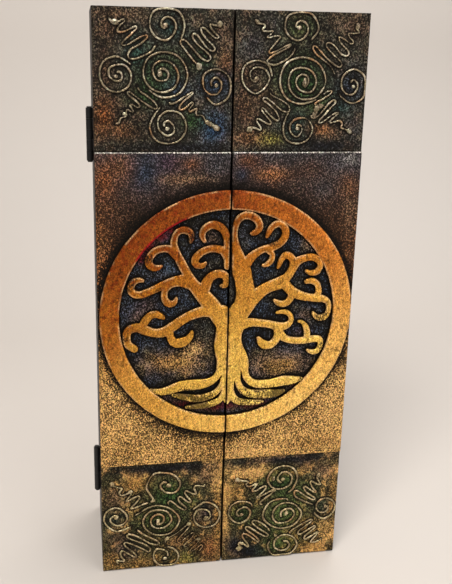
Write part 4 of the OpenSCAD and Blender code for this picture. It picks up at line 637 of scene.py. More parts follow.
class Clay:
    """Collects the cords and lumps of one piece, above the tile's face at y."""

    def __init__(self, y):
        self.y = y
        self.verts = []
        self.faces = []

    def cord(self, route, seed, width=1.0, thick_start=1.0, thick_end=1.0):
        path = even_path(route, CORD_SPACING)
        n = len(path)
        run = np.arange(n) * CORD_SPACING
        r = CORD_R * width * (
            1 + 0.11 * noise(run, run * 0 + seed, 5, seed) + 0.07 * noise(run, run * 0, 1.9, seed + 1)
        )
        share = np.linspace(0, 1, n)
        r *= np.interp(share, (0, 0.06, 0.94, 1), (thick_start, 1, 1, thick_end))
        for k, part in enumerate(END_SHAPE):
            r[k] *= part
            r[-1 - k] *= part
        lift = 0.12 * noise(run, run * 0 + 3.0, 6, seed + 2)
        along = np.gradient(path, axis=0)
        along /= np.maximum(np.linalg.norm(along, axis=1), 1e-6)[:, None]
        across = np.stack([-along[:, 1], along[:, 0]], 1)
        base = len(self.verts)
        for i in range(n):
            for s in range(CORD_SIDES):
                angle = 2 * math.pi * s / CORD_SIDES
                side = r[i] * math.cos(angle)
                up = r[i] * (CORD_RISE + CORD_TALL * math.sin(angle)) + lift[i]
                self.verts.append(
                    (path[i, 0] + across[i, 0] * side, self.y - up, path[i, 1] + across[i, 1] * side)
                )
        for i in range(n - 1):
            for s in range(CORD_SIDES):
                a = base + i * CORD_SIDES + s
                b = base + i * CORD_SIDES + (s + 1) % CORD_SIDES
                self.faces.append((a, b, b + CORD_SIDES, a + CORD_SIDES))
        last = base + (n - 1) * CORD_SIDES
        self.faces.append(tuple(range(base + CORD_SIDES - 1, base - 1, -1)))
        self.faces.append(tuple(range(last, last + CORD_SIDES)))

    def lump(self, x, z, r, stretch, turn, seed):
        """A soft lump of clay, longer by stretch along the direction turn, in degrees."""
        bm = bmesh.new()
        bmesh.ops.create_icosphere(bm, subdivisions=3, radius=1)
        rough = np.random.default_rng(seed).uniform(-1, 1, 6)
        c, s = math.cos(math.radians(turn)), math.sin(math.radians(turn))
        base = len(self.verts)
        for v in bm.verts:
            p = v.co
            k = 1 + 0.13 * math.sin(3 * p.x + 5 * rough[0]) * math.sin(3.3 * p.z + 5 * rough[1])
            k += 0.07 * math.sin(6 * p.x + 5 * rough[2]) * math.cos(5 * p.z + 5 * rough[3])
            u, w = p.x * r * stretch * k, p.z * r * k
            up = r * (0.25 + 0.75 * p.y * k)
            self.verts.append((x + u * c - w * s, self.y - min(up, 1.9), z + u * s + w * c))
        for f in bm.faces:
            self.faces.append(tuple(base + v.index for v in reversed(f.verts)))
        bm.free()


# ---------------------------------------------------------------- materials
class Shader:
    """A node material, built with short calls."""

    def __init__(self, name):
        self.material = bpy.data.materials.new(name)
        self.material.use_nodes = True
        self.tree = self.material.node_tree
        self.bsdf = self.tree.nodes["Principled BSDF"]

    def put(self, socket, value):
        if isinstance(value, bpy.types.NodeSocket):
            self.tree.links.new(value, socket)
        elif isinstance(value, (tuple, list, np.ndarray)) and len(value) == 3 and socket.type == "RGBA":
            socket.default_value = (*value, 1)
        else:
            socket.default_value = value

    def node(self, kind, inputs=(), **settings):
        made = self.tree.nodes.new(kind)
        for key, value in settings.items():
            setattr(made, key, value)
        for key, value in dict(inputs).items():
            self.put(made.inputs[key], value)
        return made

    def math(self, operation, a, b):
        return self.node("ShaderNodeMath", {0: a, 1: b}, operation=operation).outputs[0]

    def plus(self, a, b):
        return self.math("ADD", a, b)

    def minus(self, a, b):
        return self.math("SUBTRACT", a, b)

    def times(self, a, b):
        return self.math("MULTIPLY", a, b)

    def ease(self, value, low, high, to_low=0.0, to_high=1.0):
        """value from low to high, eased to the range to_low to to_high"""
        made = self.node(
            "ShaderNodeMapRange",
            {"Value": value, "From Min": low, "From Max": high, "To Min": to_low, "To Max": to_high},
            interpolation_type="SMOOTHSTEP",
        )
        return made.outputs["Result"]

    def mix(self, factor, a, b, blend="MIX"):
        made = self.node("ShaderNodeMix", data_type="RGBA", blend_type=blend)
        self.put(made.inputs["Factor"], factor)
        colours = [s for s in made.inputs if s.type == "RGBA"]
        self.put(colours[0], a)
        self.put(colours[1], b)
        return [s for s in made.outputs if s.type == "RGBA"][0]

    def place(self, stretch=(1, 1, 1)):
        """Object coordinates in millimetres, squeezed by stretch"""
        coords = self.node("ShaderNodeTexCoord")
        scale = tuple(s / MM for s in stretch)
        mapping = self.node("ShaderNodeMapping", {"Vector": coords.outputs["Object"], "Scale": scale})
        return mapping.outputs[0]

    def noise(self, size_mm, stretch=(1, 1, 1), detail=3.0, roughness=0.6, distortion=0.0):
        made = self.node(
            "ShaderNodeTexNoise",
            {"Vector": self.place(stretch), "Scale": 1 / size_mm, "Detail": detail,
             "Roughness": roughness, "Distortion": distortion},
        )
        return made.outputs[0]

    def attribute(self, name, colour=False):
        made = self.node("ShaderNodeAttribute", attribute_name=name)
        return made.outputs["Color" if colour else "Fac"]

    def bump(self, height, distance_mm, strength=1.0):
        made = self.node(
            "ShaderNodeBump", {"Height": height, "Distance": distance_mm * MM, "Strength": strength}
        )
        self.put(self.bsdf.inputs["Normal"], made.outputs["Normal"])

    def finish(self, **inputs):
        names = {"base": "Base Color", "rough": "Roughness", "metal": "Metallic",
                 "specular": "Specular IOR Level"}
        for key, value in inputs.items():
            self.put(self.bsdf.inputs[names[key]], value)
        return self.material


BLACK_CLAY = linear(11, 7, 3)
# How bright the wash is, as a part of the paint over it
WASH = 0.24


def painted_clay(name, grain_mm, streak, softness, sparkle, shine, relief_mm, tinted, metal):
    """Black clay with a thin wash of colour and dry-brushed metallic paint over it. The piece's
    own attributes say where: paint is the colour, wash and cover how much of it there is in the
    wash and on top, and depth how far down a side it is."""
    s = Shader(name)
    grain = s.ease(s.noise(grain_mm, (1, 1, streak), detail=4.0, roughness=0.68), 0.28, 0.72)
    fine = s.noise(grain_mm * 0.45, (1, 1, 0.8), detail=2.0)
    level = s.plus(grain, s.times(s.minus(fine, 0.5), 0.9))
    depth = s.ease(s.attribute("depth"), 0.15, 0.62)
    cover = s.minus(s.attribute("cover"), s.times(depth, 1.4))
    mask = s.ease(s.plus(level, s.minus(cover, 1.0)), -softness, softness)
    thin = s.minus(s.attribute("wash"), s.times(depth, 0.8))
    thin = s.plus(thin, s.times(s.minus(level, 0.5), 0.8))
    tone = s.ease(s.noise(2.6, (1.3, 1, 0.35), detail=3.0), 0.3, 0.7, 0.78, 1.16)
    flake = s.ease(
        s.noise(grain_mm * 0.7, (1, 1, 0.8), detail=1.0), 0.32, 0.68, 1 - sparkle, 1 + sparkle
    )
    flake = s.times(flake, s.ease(level, 0.4, 0.95, 1 - sparkle, 1 + 1.2 * sparkle))
    paint = s.mix(1.0, s.attribute("paint", colour=True), s.times(tone, flake), "MULTIPLY")
    tints = s.node(
        "ShaderNodeTexNoise",
        {"Vector": s.place((1, 1, 0.6)), "Scale": 1 / (1.9 * grain_mm), "Detail": 2.0},
    ).outputs["Color"]
    paint = s.mix(tinted, paint, s.mix(1.0, tints, (2, 2, 2), "MULTIPLY"), "MULTIPLY")
    washed = s.mix(1.0, paint, (WASH, WASH, WASH), "MULTIPLY")
    ground = s.mix(s.ease(thin, 0.0, 1.0), BLACK_CLAY, washed)
    base = s.mix(mask, ground, paint)
    s.bump(s.plus(s.times(mask, 0.45), s.times(level, 0.55)), relief_mm, 0.9)
    return s.finish(
        base=base,
        rough=s.ease(mask, 0, 1, 0.7, shine),
        metal=s.times(mask, metal),
        specular=0.1,
    )


def wood(name, dark, light, grain_axis, shine=0.5):
    """Stained wood. grain_axis is the axis that the grain runs along, 0 to 2."""
    s = Shader(name)
    along = tuple(0.06 if k == grain_axis else 1.0 for k in range(3))
    figure = s.ease(s.noise(5.0, along, detail=4.0, distortion=0.6), 0.3, 0.7)
    pores = s.ease(s.noise(0.7, tuple(a * 0.6 for a in along), detail=2.0), 0.36, 0.6)
    blotch = s.ease(s.noise(28.0, detail=2.0), 0.3, 0.7, 0.72, 1.2)
    base = s.mix(figure, dark, light)
    base = s.mix(s.times(s.minus(1.0, pores), 0.5), base, np.array(dark) * 0.35)
    base = s.mix(1.0, base, blotch, "MULTIPLY")
    s.bump(s.plus(s.times(pores, 0.7), s.times(figure, 0.3)), 0.12, 0.7)
    return s.finish(base=base, rough=s.ease(figure, 0, 1, shine + 0.12, shine - 0.05), specular=0.4)


def metal(name, colour, worn, shine, metallic, wear):
    """Metal or paint on metal, scuffed in patches down to the colour worn"""
    s = Shader(name)
    patch = s.noise(3.5, detail=4.0, roughness=0.7)
    scuff = s.ease(patch, 0.72 - wear, 0.8 - wear)
    fine = s.noise(0.35, (1, 1, 0.3), detail=2.0)
    base = s.mix(scuff, s.mix(s.ease(fine, 0.3, 0.7, 0, 0.5), colour, np.array(colour) * 0.6), worn)
    s.bump(s.plus(fine, s.times(scuff, -0.6)), 0.03, 0.8)
    return s.finish(
        base=base,
        rough=s.ease(patch, 0.3, 0.7, shine - 0.08, shine + 0.12),
        metal=s.ease(scuff, 0, 1, metallic, max(metallic, 0.7)),
    )


def plastic(name, colour):
    s = Shader(name)
    patch = s.noise(9.0, detail=3.0)
    base = s.mix(s.ease(patch, 0.35, 0.65), colour, np.array(colour) * 0.82)
    s.bump(s.noise(0.4, detail=2.0), 0.03, 0.6)
    return s.finish(base=base, rough=s.ease(patch, 0.3, 0.7, 0.42, 0.56))


# Grain in mm, streak, softness, sparkle, shine, relief in mm, tint and metal of each paint
panel_material = painted_clay("panel_paint", 1.05, 0.8, 0.17, 0.36, 0.4, 0.22, 0.15, 0.3)
tile_material = painted_clay("tile_paint", 1.0, 0.85, 0.18, 0.36, 0.4, 0.22, 0.2, 0.3)
relief_material = painted_clay("relief_paint", 0.95, 0.7, 0.3, 0.26, 0.32, 0.1, 0.14, 0.5)
cord_material = painted_clay("cord_paint", 0.9, 0.8, 0.25, 0.28, 0.3, 0.06, 0.15, 0.5)

# ---------------------------------------------------------------- slabs
# Distances of the first grid lines from a slab's edge, in mm, where its rounding needs them
EDGE_STEPS = (0, 0.12, 0.35, 0.7, 1.2, 1.9)
EDGE_R = 0.9
# Width of the stretch beside the edge that is a little ragged, in mm
RAGGED_MM = 1.2


def edge_grid(low, high, cell):
    """Places of the grid lines between two edges, closer together near them"""
    inner_low, inner_high = low + EDGE_STEPS[-1] + cell, high - EDGE_STEPS[-1] - cell
    n = max(1, round((inner_high - inner_low) / cell))
    middle = np.linspace(inner_low, inner_high, n + 1)
    steps = np.array(EDGE_STEPS)
    return np.concatenate([low + steps, middle, (high - steps)[::-1]])


def slab(name, node, cell, seed):
    """A tile or a panel with softly rounded edges and a hand-worked face"""
    low, high = box_mm(node)
    xs, zs = edge_grid(low[0], high[0], cell), edge_grid(low[2], high[2], cell)
    nx, nz = len(xs), len(zs)
    x, z = (g.ravel() for g in np.meshgrid(xs, zs))
    rim = np.minimum.reduce([x - low[0], high[0] - x, z - low[2], high[2] - z])
    inward = np.clip(EDGE_R - rim, 0, EDGE_R)
    drop = EDGE_R - np.sqrt(EDGE_R**2 - inward**2)
    worked = 0.1 * cloud(x, z, 6, seed) + 0.07 * noise(x, z, 2.2, seed + 5)
    ragged = 0.14 * (1 + cloud(x, z, 7, seed + 9)) * np.clip(1 - rim / RAGGED_MM, 0, 1)
    middle = (low + high) / 2
    toward_x, toward_z = np.sign(middle[0] - x), np.sign(middle[2] - z)
    near_x = np.minimum(x - low[0], high[0] - x) < RAGGED_MM
    near_z = np.minimum(z - low[2], high[2] - z) < RAGGED_MM
    verts = np.stack(
        [x + ragged * toward_x * near_x, low[1] + drop + worked * np.clip(rim, 0, 1),
         z + ragged * toward_z * near_z], 1
    )
    grid = np.arange(nx * nz).reshape(nz, nx)
    faces = np.stack([grid[:-1, :-1], grid[:-1, 1:], grid[1:, 1:], grid[1:, :-1]], -1)
    faces = faces.reshape(-1, 4).tolist()
    loop = np.concatenate([grid[0, :-1], grid[:-1, -1], grid[-1, :0:-1], grid[:0:-1, 0]])
    count = len(loop)
    back = verts[loop].copy()
    back[:, 1] = high[1]
    first = len(verts)
    verts = np.concatenate([verts, back])
    for k in range(count):
        m = (k + 1) % count
        faces.append((int(loop[m]), int(loop[k]), first + k, first + m))
    faces.append(tuple(range(first + count - 1, first - 1, -1)))
    obj = make_object(name, verts, faces)
    return obj, verts, np.concatenate([rim, -np.ones(count)])


def slab_depth(rim):
    """How far down a side each point is: 0 on the face and 1 at the back"""
    return np.where(rim < 0, 1.0, 0.35 * np.clip(1 - rim / 0.3, 0, 1))


# ---------------------------------------------------------------- centre panels
# Width of the dark halo round the ring, in mm, by the direction from the ring's middle. The halo is
# partly black clay that the brush missed and partly painted shadow.
HALO_AND_SHADE_TURNS = (0, 45, 90, 135, 180, 225, 255, 275, 295, 330, 360)
HALO_AND_SHADE_WIDTHS = (5, 10, 11, 13, 6, 9, 14, 12, 6, 6, 5)
# Width of the dark beside the branches, in mm: partly black clay that the brush missed, partly painted
# shadow
BRANCH_HALO_AND_SHADE = 2.2
# Heights, with how much paint is on the panels there, on top and in the wash
COVER_HEIGHTS = (98, 165, 215, 300, 350)
PANEL_COVERS = (0.5, 0.48, 0.44, 0.28, 0.28)
PANEL_WASHES = (0.85, 0.8, 0.75, 0.85, 0.95)
PANEL_CELL = 1.15
PANEL_SEED = 100


def near_relief(x, z, points):
    """Distance outside the ring and the branches, in mm"""
    radius = np.hypot(x, z - RING_Z)
    ring = np.where(radius > RING_INNER_R, radius - RING_OUTER_R, RING_INNER_R - radius)
    tree = distances(x, z, points)
    return np.where(radius > RING_INNER_R, ring, np.minimum(ring, tree)), radius


for seed, side in enumerate(SIDES, PANEL_SEED):
    node = f"{side}_centre_panel"
    obj, verts, rim = slab(f"{side}_panel", node, PANEL_CELL, seed)
    x, z = verts[:, 0], verts[:, 2]
    gap, radius = near_relief(x, z, outline(f"{side}_tree_half"))
    inside = radius < (RING_INNER_R + RING_OUTER_R) / 2
    colour = ramp(z, PANEL_HEIGHTS, [PAINTS[paint] for paint in PANEL_PAINTS])
    cover = np.interp(z, COVER_HEIGHTS, PANEL_COVERS) + 0.16 * cloud(x, z, 16, seed + 20)
    wash = np.interp(z, COVER_HEIGHTS, PANEL_WASHES)
    colour, cover = daubed(x, z, colour, cover, PANEL_DAUBS[side], seed + 30)
    bluish = smoothstep(-0.35, 0.35, cloud(x, z, 12, seed + 45))
    floor_colour = blend(PAINTS["umber"], PAINTS["steel"], bluish)
    floor_cover = 0.23 + 0.24 * cloud(x, z, 8, seed + 40)
    floor_colour, floor_cover = daubed(x, z, floor_colour, floor_cover, FLOOR_DAUBS, seed + 50)
    colour = np.where(inside[:, None], floor_colour, colour)
    wash = np.where(inside, 0.25 + 0.7 * floor_cover, wash)
    cover = np.where(inside, floor_cover, cover)
    # Black shows in a halo round the ring and close beside the branches; this halo is partly black clay
    # that the brush missed and partly painted shadow.
    turn = np.degrees(np.arctan2(z - RING_Z, x)) % 360
    wide = np.where(inside, BRANCH_HALO_AND_SHADE, np.interp(turn, HALO_AND_SHADE_TURNS, HALO_AND_SHADE_WIDTHS))
    wide = wide * (1 + 0.5 * cloud(x, z, 18, seed + 60) + 0.3 * cloud(x, z, 5, seed + 61))
    away = np.clip(gap, 0, None) / wide
    halo_and_shade = 0.55 * np.exp(-((2 * away) ** 2)) + 0.4 * np.exp(-(away**2))
    cover = cover - 0.64 * halo_and_shade
    wash = wash - 0.95 * halo_and_shade
    colour, glazed = daubed(x, z, colour, np.zeros(len(x)), GLAZE_DAUBS, seed + 70)
    cover = cover + 0.6 * glazed
    wash = wash + glazed
    worn = (rim > -0.5) & (rim < 0.8)
    # The panel's top edge is pale silver: worn paint, and a painted highlight where light from above
    # catches the edge.
    worn_and_lit_top_edge = worn & (z > verts[:, 2].max() - 1.2)
    colour = np.where(worn_and_lit_top_edge[:, None], PAINTS["silver"], colour)
    rubbed_and_lit = 0.25 + 0.5 * cloud(x, z, 6, seed + 80)
    cover = cover + np.where(worn_and_lit_top_edge, rubbed_and_lit, np.where(worn, 0.12, 0))
    add_paint(obj.data, colour, cover, wash, slab_depth(rim))
    place(obj, f"{side}_door", panel_material, node)


# ---------------------------------------------------------------- ring and tree
VOXEL_MM = 0.5
# How far the relief reaches into the panel behind it
SINK_MM = 1.2
REGAIN_MM = 0.35
# How far worn the lowest roots are, and the height under which they are
ROOT_WEAR = 0.55
ROOT_WEAR_Z = 166
RELIEF_WASH = 0.7
RELIEF_SEED = 200
RED_STROKE = linear(150, 24, 28)
# Places where the relief's paint is rubbed off: (x, z, reach)
RUBBED = (
    (-86, 206, 7), (-76, 252, 6), (-28, 286, 6), (-64, 272, 6), (80, 194, 7), (74, 222, 6),
    (-34, 161, 6), (-60, 168, 7), (44, 153, 9), (64, 167, 8), (-22, 149, 9), (34, 282, 5),
    (-10, 246, 5), (58, 254, 5),
)
# The directions, from the ring's middle, between which the red stroke runs
RED_FROM, RED_TO = 115, 145


def soft_relief(name, node, seed, lift, yellow):
    """The flat relief as modelled clay: its edges rounded and its faces brushed"""
    source = NODES[node].data.copy()
    co = verts_of(source)
    back = co[:, 1] > co[:, 1].mean()
    co[back, 1] += SINK_MM
    source.vertices.foreach_set("co", (co * MM).ravel())
    obj = bpy.data.objects.new(name, source)
    bpy.context.scene.collection.objects.link(obj)
    remesh = obj.modifiers.new("remesh", "REMESH")
    remesh.mode = "VOXEL"
    remesh.voxel_size = VOXEL_MM * MM
    smooth = obj.modifiers.new("smooth", "SMOOTH")
    smooth.factor = 0.5
    smooth.iterations = 4
    shaped = obj.evaluated_get(bpy.context.evaluated_depsgraph_get())
    mesh = bpy.data.meshes.new_from_object(shaped)
    obj.modifiers.clear()
    obj.data = mesh
    mesh.name = name
    co = verts_of(mesh)
    normals = np.zeros(len(co) * 3, np.float32)
    mesh.vertices.foreach_get("normal", normals)
    normals = normals.reshape(-1, 3)
    front = co[:, 1].min()
    # Smoothing draws the sides in, and this puts them back.
    co[:, 0] += REGAIN_MM * normals[:, 0]
    co[:, 2] += REGAIN_MM * normals[:, 2]
    seam_x = np.abs(verts_of(NODES[node].data)[:, 0]).min()
    co[:, 0] = np.sign(co[:, 0]) * np.maximum(np.abs(co[:, 0]), seam_x)
    x, z = co[:, 0].copy(), co[:, 2].copy()
    edge = distances(x, z, outline(node))
    top = np.clip((front + 1.5 - co[:, 1]) / 1.5, 0, 1)
    worked = 0.13 * cloud(x, z, 5, seed) + 0.06 * noise(x * 2.5, z, 2.4, seed + 3)
    crown = 0.28 * smoothstep(0.3, 3.0, edge) - 0.2
    co[:, 1] += top * (worked - crown)
    shift = 0.16 * noise(z, x, 4, seed + 6)
    co[:, 0] += shift * ((edge < 1.4) & (np.abs(x) > 1.5))
    co[:, 1] = np.maximum(co[:, 1], front - 0.02)
    mesh.vertices.foreach_set("co", (co * MM).astype(np.float32).ravel())
    mesh.update()
    mesh.shade_smooth()
    depth = np.clip((co[:, 1] - front - 0.55) / 2.4, 0, 1)
    lit = 0.85 * smoothstep(1.1, 0.35, edge) * smoothstep(-0.25, 0.25, cloud(x, z, 9, seed + 8))
    colour = relief_colour(x, z, seed + 9, lift, yellow)
    pale = colour * 0.4 + PAINTS["gold"] * 0.6 + 0.06
    colour = blend(colour, pale, lit)
    # Beside the seam between the doors the relief is darker and has less paint, more so higher up.
    seam = smoothstep(3.2, 0.6, np.abs(x)) * smoothstep(-0.3, 0.3, cloud(x, z, 5, seed + 10))
    seam *= np.interp(z, (240, 310), (0.5, 0.8))
    colour = colour * (1 - seam[:, None])
    # A stroke of red along the ring's inner edge, at the upper left
    turn = np.degrees(np.arctan2(z - RING_Z, x))
    stroke = smoothstep(RED_TO + 4, RED_TO, turn) * smoothstep(RED_FROM - 4, RED_FROM, turn)
    stroke *= smoothstep(RING_INNER_R + 1.8, RING_INNER_R + 0.6, np.hypot(x, z - RING_Z))
    stroke *= node.endswith("ring_half")
    colour = blend(colour, RED_STROKE, stroke)
    depth = depth * (1 - 0.8 * stroke)
    # The lowest roots are worn.
    worn = ROOT_WEAR * smoothstep(ROOT_WEAR_Z, ROOT_WEAR_Z - 8, z) * smoothstep(5, 12, np.abs(x))
    worn = worn * smoothstep(RING_INNER_R + 1, RING_INNER_R - 1, np.hypot(x, z - RING_Z))
    patchy = 0.12 * cloud(x, z, 7, seed + 12)
    if node.endswith("tree_half"):
        for rub_x, rub_z, reach in RUBBED:
            away = np.hypot(x - rub_x, z - rub_z) / reach
            patchy = patchy - 0.66 * smoothstep(1.3, 0.4, away + 0.5 * cloud(x, z, 4, seed + 13))
    cover = 0.93 + patchy - 0.2 * seam - worn
    add_paint(mesh, colour, cover, np.full(len(co), RELIEF_WASH), depth)
    return obj


for seed, side in enumerate(SIDES, RELIEF_SEED):
    for kind, more, lift, yellow in (("ring", 0, 0, 1.0), ("tree", 40, 8, 1.14)):
        node = f"{side}_{kind}_half"
        obj = soft_relief(f"{side}_{kind}", node, seed + more, lift, yellow)
        place(obj, f"{side}_door", relief_material, node)

# ---------------------------------------------------------------- tiles and their cords
# The cords' paints, from dull to bright
CORD_PAINTS = {
    "top": (linear(96, 84, 66), linear(150, 134, 106), linear(206, 196, 168)),
    "bottom": (linear(114, 98, 72), linear(176, 156, 114), linear(226, 206, 164)),
}
CORD_LEVELS = (0.2, 1.0, 1.8)
COPPER_TINT = linear(172, 122, 76)
# Height of a cord's brushed top over its tile, in mm
CORD_TOP = 1.05
CORD_WASH = 0.8
# Each kind of cord, with the end of its node's name
CORD_NODES = (
    ("centre", "centre_spiral"), ("outer", "outer_spirals"), ("squiggles", "squiggles")
)
# Height of the middle of a tile, and how far its spirals lie from the seam
TILE_MIDDLE = {"top": 400, "bottom": 46}
TILE_MIDDLE_X = 50
# Squiggles that are worn and faint: tile and number in its list, with the width
FAINT = {("bottom_left", 3): 0.75}
# How much paint is on the tiles, on top and in the wash
TILE_COVER = {"top": 0.25, "bottom": 0.3}
TILE_WASH = {"top": 0.65, "bottom": 0.75}
TILE_CELL = 0.95
TILE_SEED = 300
# How much wider the cords are than CORD_R
CORD_WIDTH = {"top": 1.0, "bottom": 1.12}
TILE_GROUND = {"top": "umber", "bottom": "olive"}
# Gold flecks over the ground: their paint and how much of it
TILE_FLECKS = {"top": ("tan", 0.3), "bottom": ("gold", 1.0)}


def cord_piece(tile, kind, y, seed):
    """A tile's centre spiral, outer spirals or squiggles, with their lumps"""
    clay = Clay(y)
    row = tile.split("_")[0]
    routes = {"centre": CENTRES, "outer": OUTERS, "squiggles": SQUIGGLES}[kind][tile]
    width = CORD_WIDTH[row]
    for k, route in enumerate(routes):
        if kind == "squiggles":
            clay.cord(route, seed + 10 * k, width * FAINT.get((tile, k), 0.94), 1.2, 0.9)
        else:
            clay.cord(spiral_route(route), seed + 10 * k, width, 0.8, 1.15)
    for k, (x, z, r, stretch, turn) in enumerate(LUMPS[tile][kind]):
        clay.lump(x, z, r, stretch, turn, seed + 500 + k)
    obj = make_object(f"{tile}_{kind}_cords", clay.verts, clay.faces)
    co = np.array(clay.verts)
    x, z = co[:, 0], co[:, 2]
    level = 1.0 + 0.9 * cloud(x, z, 7, seed + 3) + 0.5 * noise(x, z, 1.6, seed + 6)
    colour = ramp(level, CORD_LEVELS, CORD_PAINTS[row])
    # The lumps are pale.
    spots = np.array([lump[:2] for lump in LUMPS[tile][kind]])
    on_lump = smoothstep(4.5, 2.5, distances(x, z, spots))
    warm = smoothstep(0.1, 0.6, cloud(x, z, 12, seed + 4)) * 0.6 * (1 - on_lump)
    colour = blend(colour, COPPER_TINT, warm)
    cover = 0.86 + 0.3 * cloud(x, z, 6, seed + 5)
    depth = np.clip(1 - (y - co[:, 1]) / CORD_TOP, 0, 1)
    add_paint(obj.data, colour, cover, np.full(len(co), CORD_WASH), depth)
    return obj


for number, tile in enumerate(("top_left", "top_right", "bottom_left", "bottom_right")):
    row, side = tile.split("_")
    seed = TILE_SEED + 60 * number
    obj, verts, rim = slab(f"{tile}_clay_tile", f"{tile}_tile", TILE_CELL, seed)
    x, z = verts[:, 0], verts[:, 2]
    routes = [spiral_route(s) for s in CENTRES[tile] + OUTERS[tile]] + SQUIGGLES[tile]
    paths = [even_path(route, CORD_SPACING) for route in routes]
    beside = distances(x, z, np.concatenate(paths)) - CORD_R
    paint, amount = TILE_FLECKS[row]
    patches = cloud(x, z, 8, seed + 25) + 0.25 * cloud(x, z, 3, seed + 26)
    flecks = amount * smoothstep(0.0, 0.45, patches)
    # There are none round the spirals in the middle.
    flecks *= 1 - bump_at(np.abs(x), z, TILE_MIDDLE_X, TILE_MIDDLE[row], 26, 24)
    ground = blend(PAINTS[TILE_GROUND[row]], PAINTS[paint], flecks)
    cover = TILE_COVER[row] + 0.22 * cloud(x, z, 10, seed + 20) + 0.3 * flecks
    colour, cover = daubed(x, z, ground, cover, TILE_DAUBS[tile], seed + 30)
    # The brush misses the corners beside the cords, and the dark there is also painted shade.
    missed_and_shaded = smoothstep(1.5, 0.2, beside)
    wash = TILE_WASH[row] + 0.3 * cloud(x, z, 8, seed + 40) - 0.55 * missed_and_shaded
    wash = wash + 0.8 * (cover - TILE_COVER[row])
    cover = cover - 0.6 * missed_and_shaded + np.where((rim > -0.5) & (rim < 0.6), 0.12, 0)
    add_paint(obj.data, colour, cover, wash, slab_depth(rim))
    place(obj, f"{side}_door", tile_material, f"{tile}_tile")
    face_y = box_mm(f"{tile}_tile")[0][1]
    for k, (kind, node) in enumerate(CORD_NODES):
        piece = cord_piece(tile, kind, face_y, seed + 700 * k)
        place(piece, f"{side}_door", cord_material, f"{tile}_{node}")

# ---------------------------------------------------------------- carried-over CAD nodes
INK = linear(24, 21, 19)
INK_LIGHT = linear(44, 37, 31)
WALNUT = linear(58, 38, 26)
WALNUT_LIGHT = linear(96, 64, 42)
black_wood = {k: wood(f"black_wood_{'xyz'[k]}", INK, INK_LIGHT, k, 0.5) for k in (0, 2)}
worn_wood = wood("worn_wood_edge", linear(50, 38, 28), linear(118, 88, 50), 2, 0.5)
inner_wood = {k: wood(f"inner_wood_{'xyz'[k]}", WALNUT, WALNUT_LIGHT, k, 0.52) for k in (0, 2)}
door_wood = wood("door_wood", linear(38, 27, 20), linear(70, 48, 32), 2, 0.5)
black_metal = metal("hinge_black", linear(26, 25, 25), linear(92, 82, 70), 0.42, 0.25, 0.06)
worn_metal = metal("hinge_worn_edge", linear(54, 50, 46), linear(130, 118, 100), 0.4, 0.7, 0.16)
zinc = metal("zinc", linear(176, 176, 172), linear(112, 108, 100), 0.34, 0.9, 0.06)
dark_steel = metal("magnet_steel", linear(88, 88, 92), linear(60, 58, 56), 0.38, 0.85, 0.08)
cream_plastic = plastic("catch_plastic", linear(222, 214, 196))


def finish_node(node, material, edge_material, bevel_mm):
    obj = NODES[node]
    obj.data.materials.clear()
    obj.data.materials.append(material)
    bevel = obj.modifiers.new("bevel", "BEVEL")
    bevel.width = bevel_mm * MM
    bevel.segments = 2
    bevel.limit_method = "ANGLE"
    bevel.angle_limit = math.radians(50)
    if edge_material:
        obj.data.materials.append(edge_material)
        bevel.material = 1


# Ends of the nodes' names, with their material, the material of their edges and the bevel in mm
FINISHES = (
    (("left_side", "right_side"), black_wood[2], worn_wood, 0.6),
    (("top_board", "bottom_board"), black_wood[0], worn_wood, 0.6),
    (("back_panel",), inner_wood[2], worn_wood, 0.4),
    (("_shelf",), inner_wood[0], worn_wood, 0.5),
    (("_door_board",), door_wood, worn_wood, 0.5),
    (("_leaf",), black_metal, worn_metal, 0.15),
    (("hinge_pin", "hinge_screws"), black_metal, worn_metal, 0.1),
    (("strike_plate",), zinc, None, 0.15),
    (("catch_screws", "strike_screw"), zinc, None, 0.1),
    (("catch_body",), cream_plastic, None, 0.5),
    (("catch_magnets",), dark_steel, None, 0.1),
)
for node in NODES:
    for ends, material, edge_material, bevel_mm in FINISHES:
        if node.endswith(ends):
            finish_node(node, material, edge_material, bevel_mm)

# ---------------------------------------------------------------- floor and light, in metres
FLOOR_R = 6.0
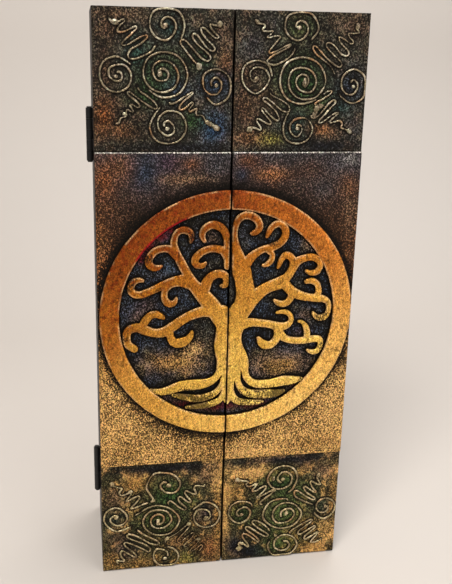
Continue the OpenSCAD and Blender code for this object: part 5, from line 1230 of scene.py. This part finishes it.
# Where the wall stands behind the cabinet, the radius of its foot, and its height
SWEEP_Y = 0.95
SWEEP_R = 0.45
SWEEP_TOP = 2.4
SWEEP_STEPS = 12
LIGHT_AIM = Vector((0, 0, 0.22))


def make_floor():
    """A pale floor that curves up into a wall behind"""
    profile = [(-FLOOR_R, 0.0), (SWEEP_Y - SWEEP_R, 0.0)]
    for k in range(1, SWEEP_STEPS + 1):
        angle = math.radians(90 / SWEEP_STEPS * k)
        profile.append(
            (SWEEP_Y - SWEEP_R + SWEEP_R * math.sin(angle), SWEEP_R - SWEEP_R * math.cos(angle))
        )
    profile.append((SWEEP_Y, SWEEP_TOP))
    verts = [(x, y, z) for y, z in profile for x in (-FLOOR_R, FLOOR_R)]
    faces = [(2 * k, 2 * k + 1, 2 * k + 3, 2 * k + 2) for k in range(len(profile) - 1)]
    floor = make_object("floor", np.array(verts) / MM, faces)
    floor.data.materials.append(Shader("floor").finish(base=linear(202, 194, 186), rough=0.8))


def area_light(name, at, size, power, tint=(1, 1, 1)):
    data = bpy.data.lights.new(name, "AREA")
    data.shape = "RECTANGLE"
    data.size, data.size_y = size
    data.energy = power
    data.color = tint
    light = bpy.data.objects.new(name, data)
    light.location = at
    light.rotation_euler = (LIGHT_AIM - Vector(at)).to_track_quat("-Z", "Y").to_euler()
    bpy.context.scene.collection.objects.link(light)


make_floor()
area_light("key", (-0.45, -0.85, 1.55), (0.6, 0.6), 24, (1.0, 0.97, 0.93))
area_light("fill", (0.9, -1.5, 0.55), (1.2, 1.2), 12, (0.98, 0.99, 1.0))
area_light("top", (0.25, -0.1, 1.7), (0.9, 0.8), 9)
area_light("back", (0.5, 0.85, 1.2), (0.9, 0.9), 8)

world = bpy.data.worlds.new("world")
bpy.context.scene.world = world
world.use_nodes = True
background = world.node_tree.nodes["Background"]
background.inputs["Color"].default_value = (0.82, 0.82, 0.84, 1)
background.inputs["Strength"].default_value = 0.28
bpy.context.scene.view_settings.view_transform = "Standard"
bpy.context.scene.view_settings.look = "None"
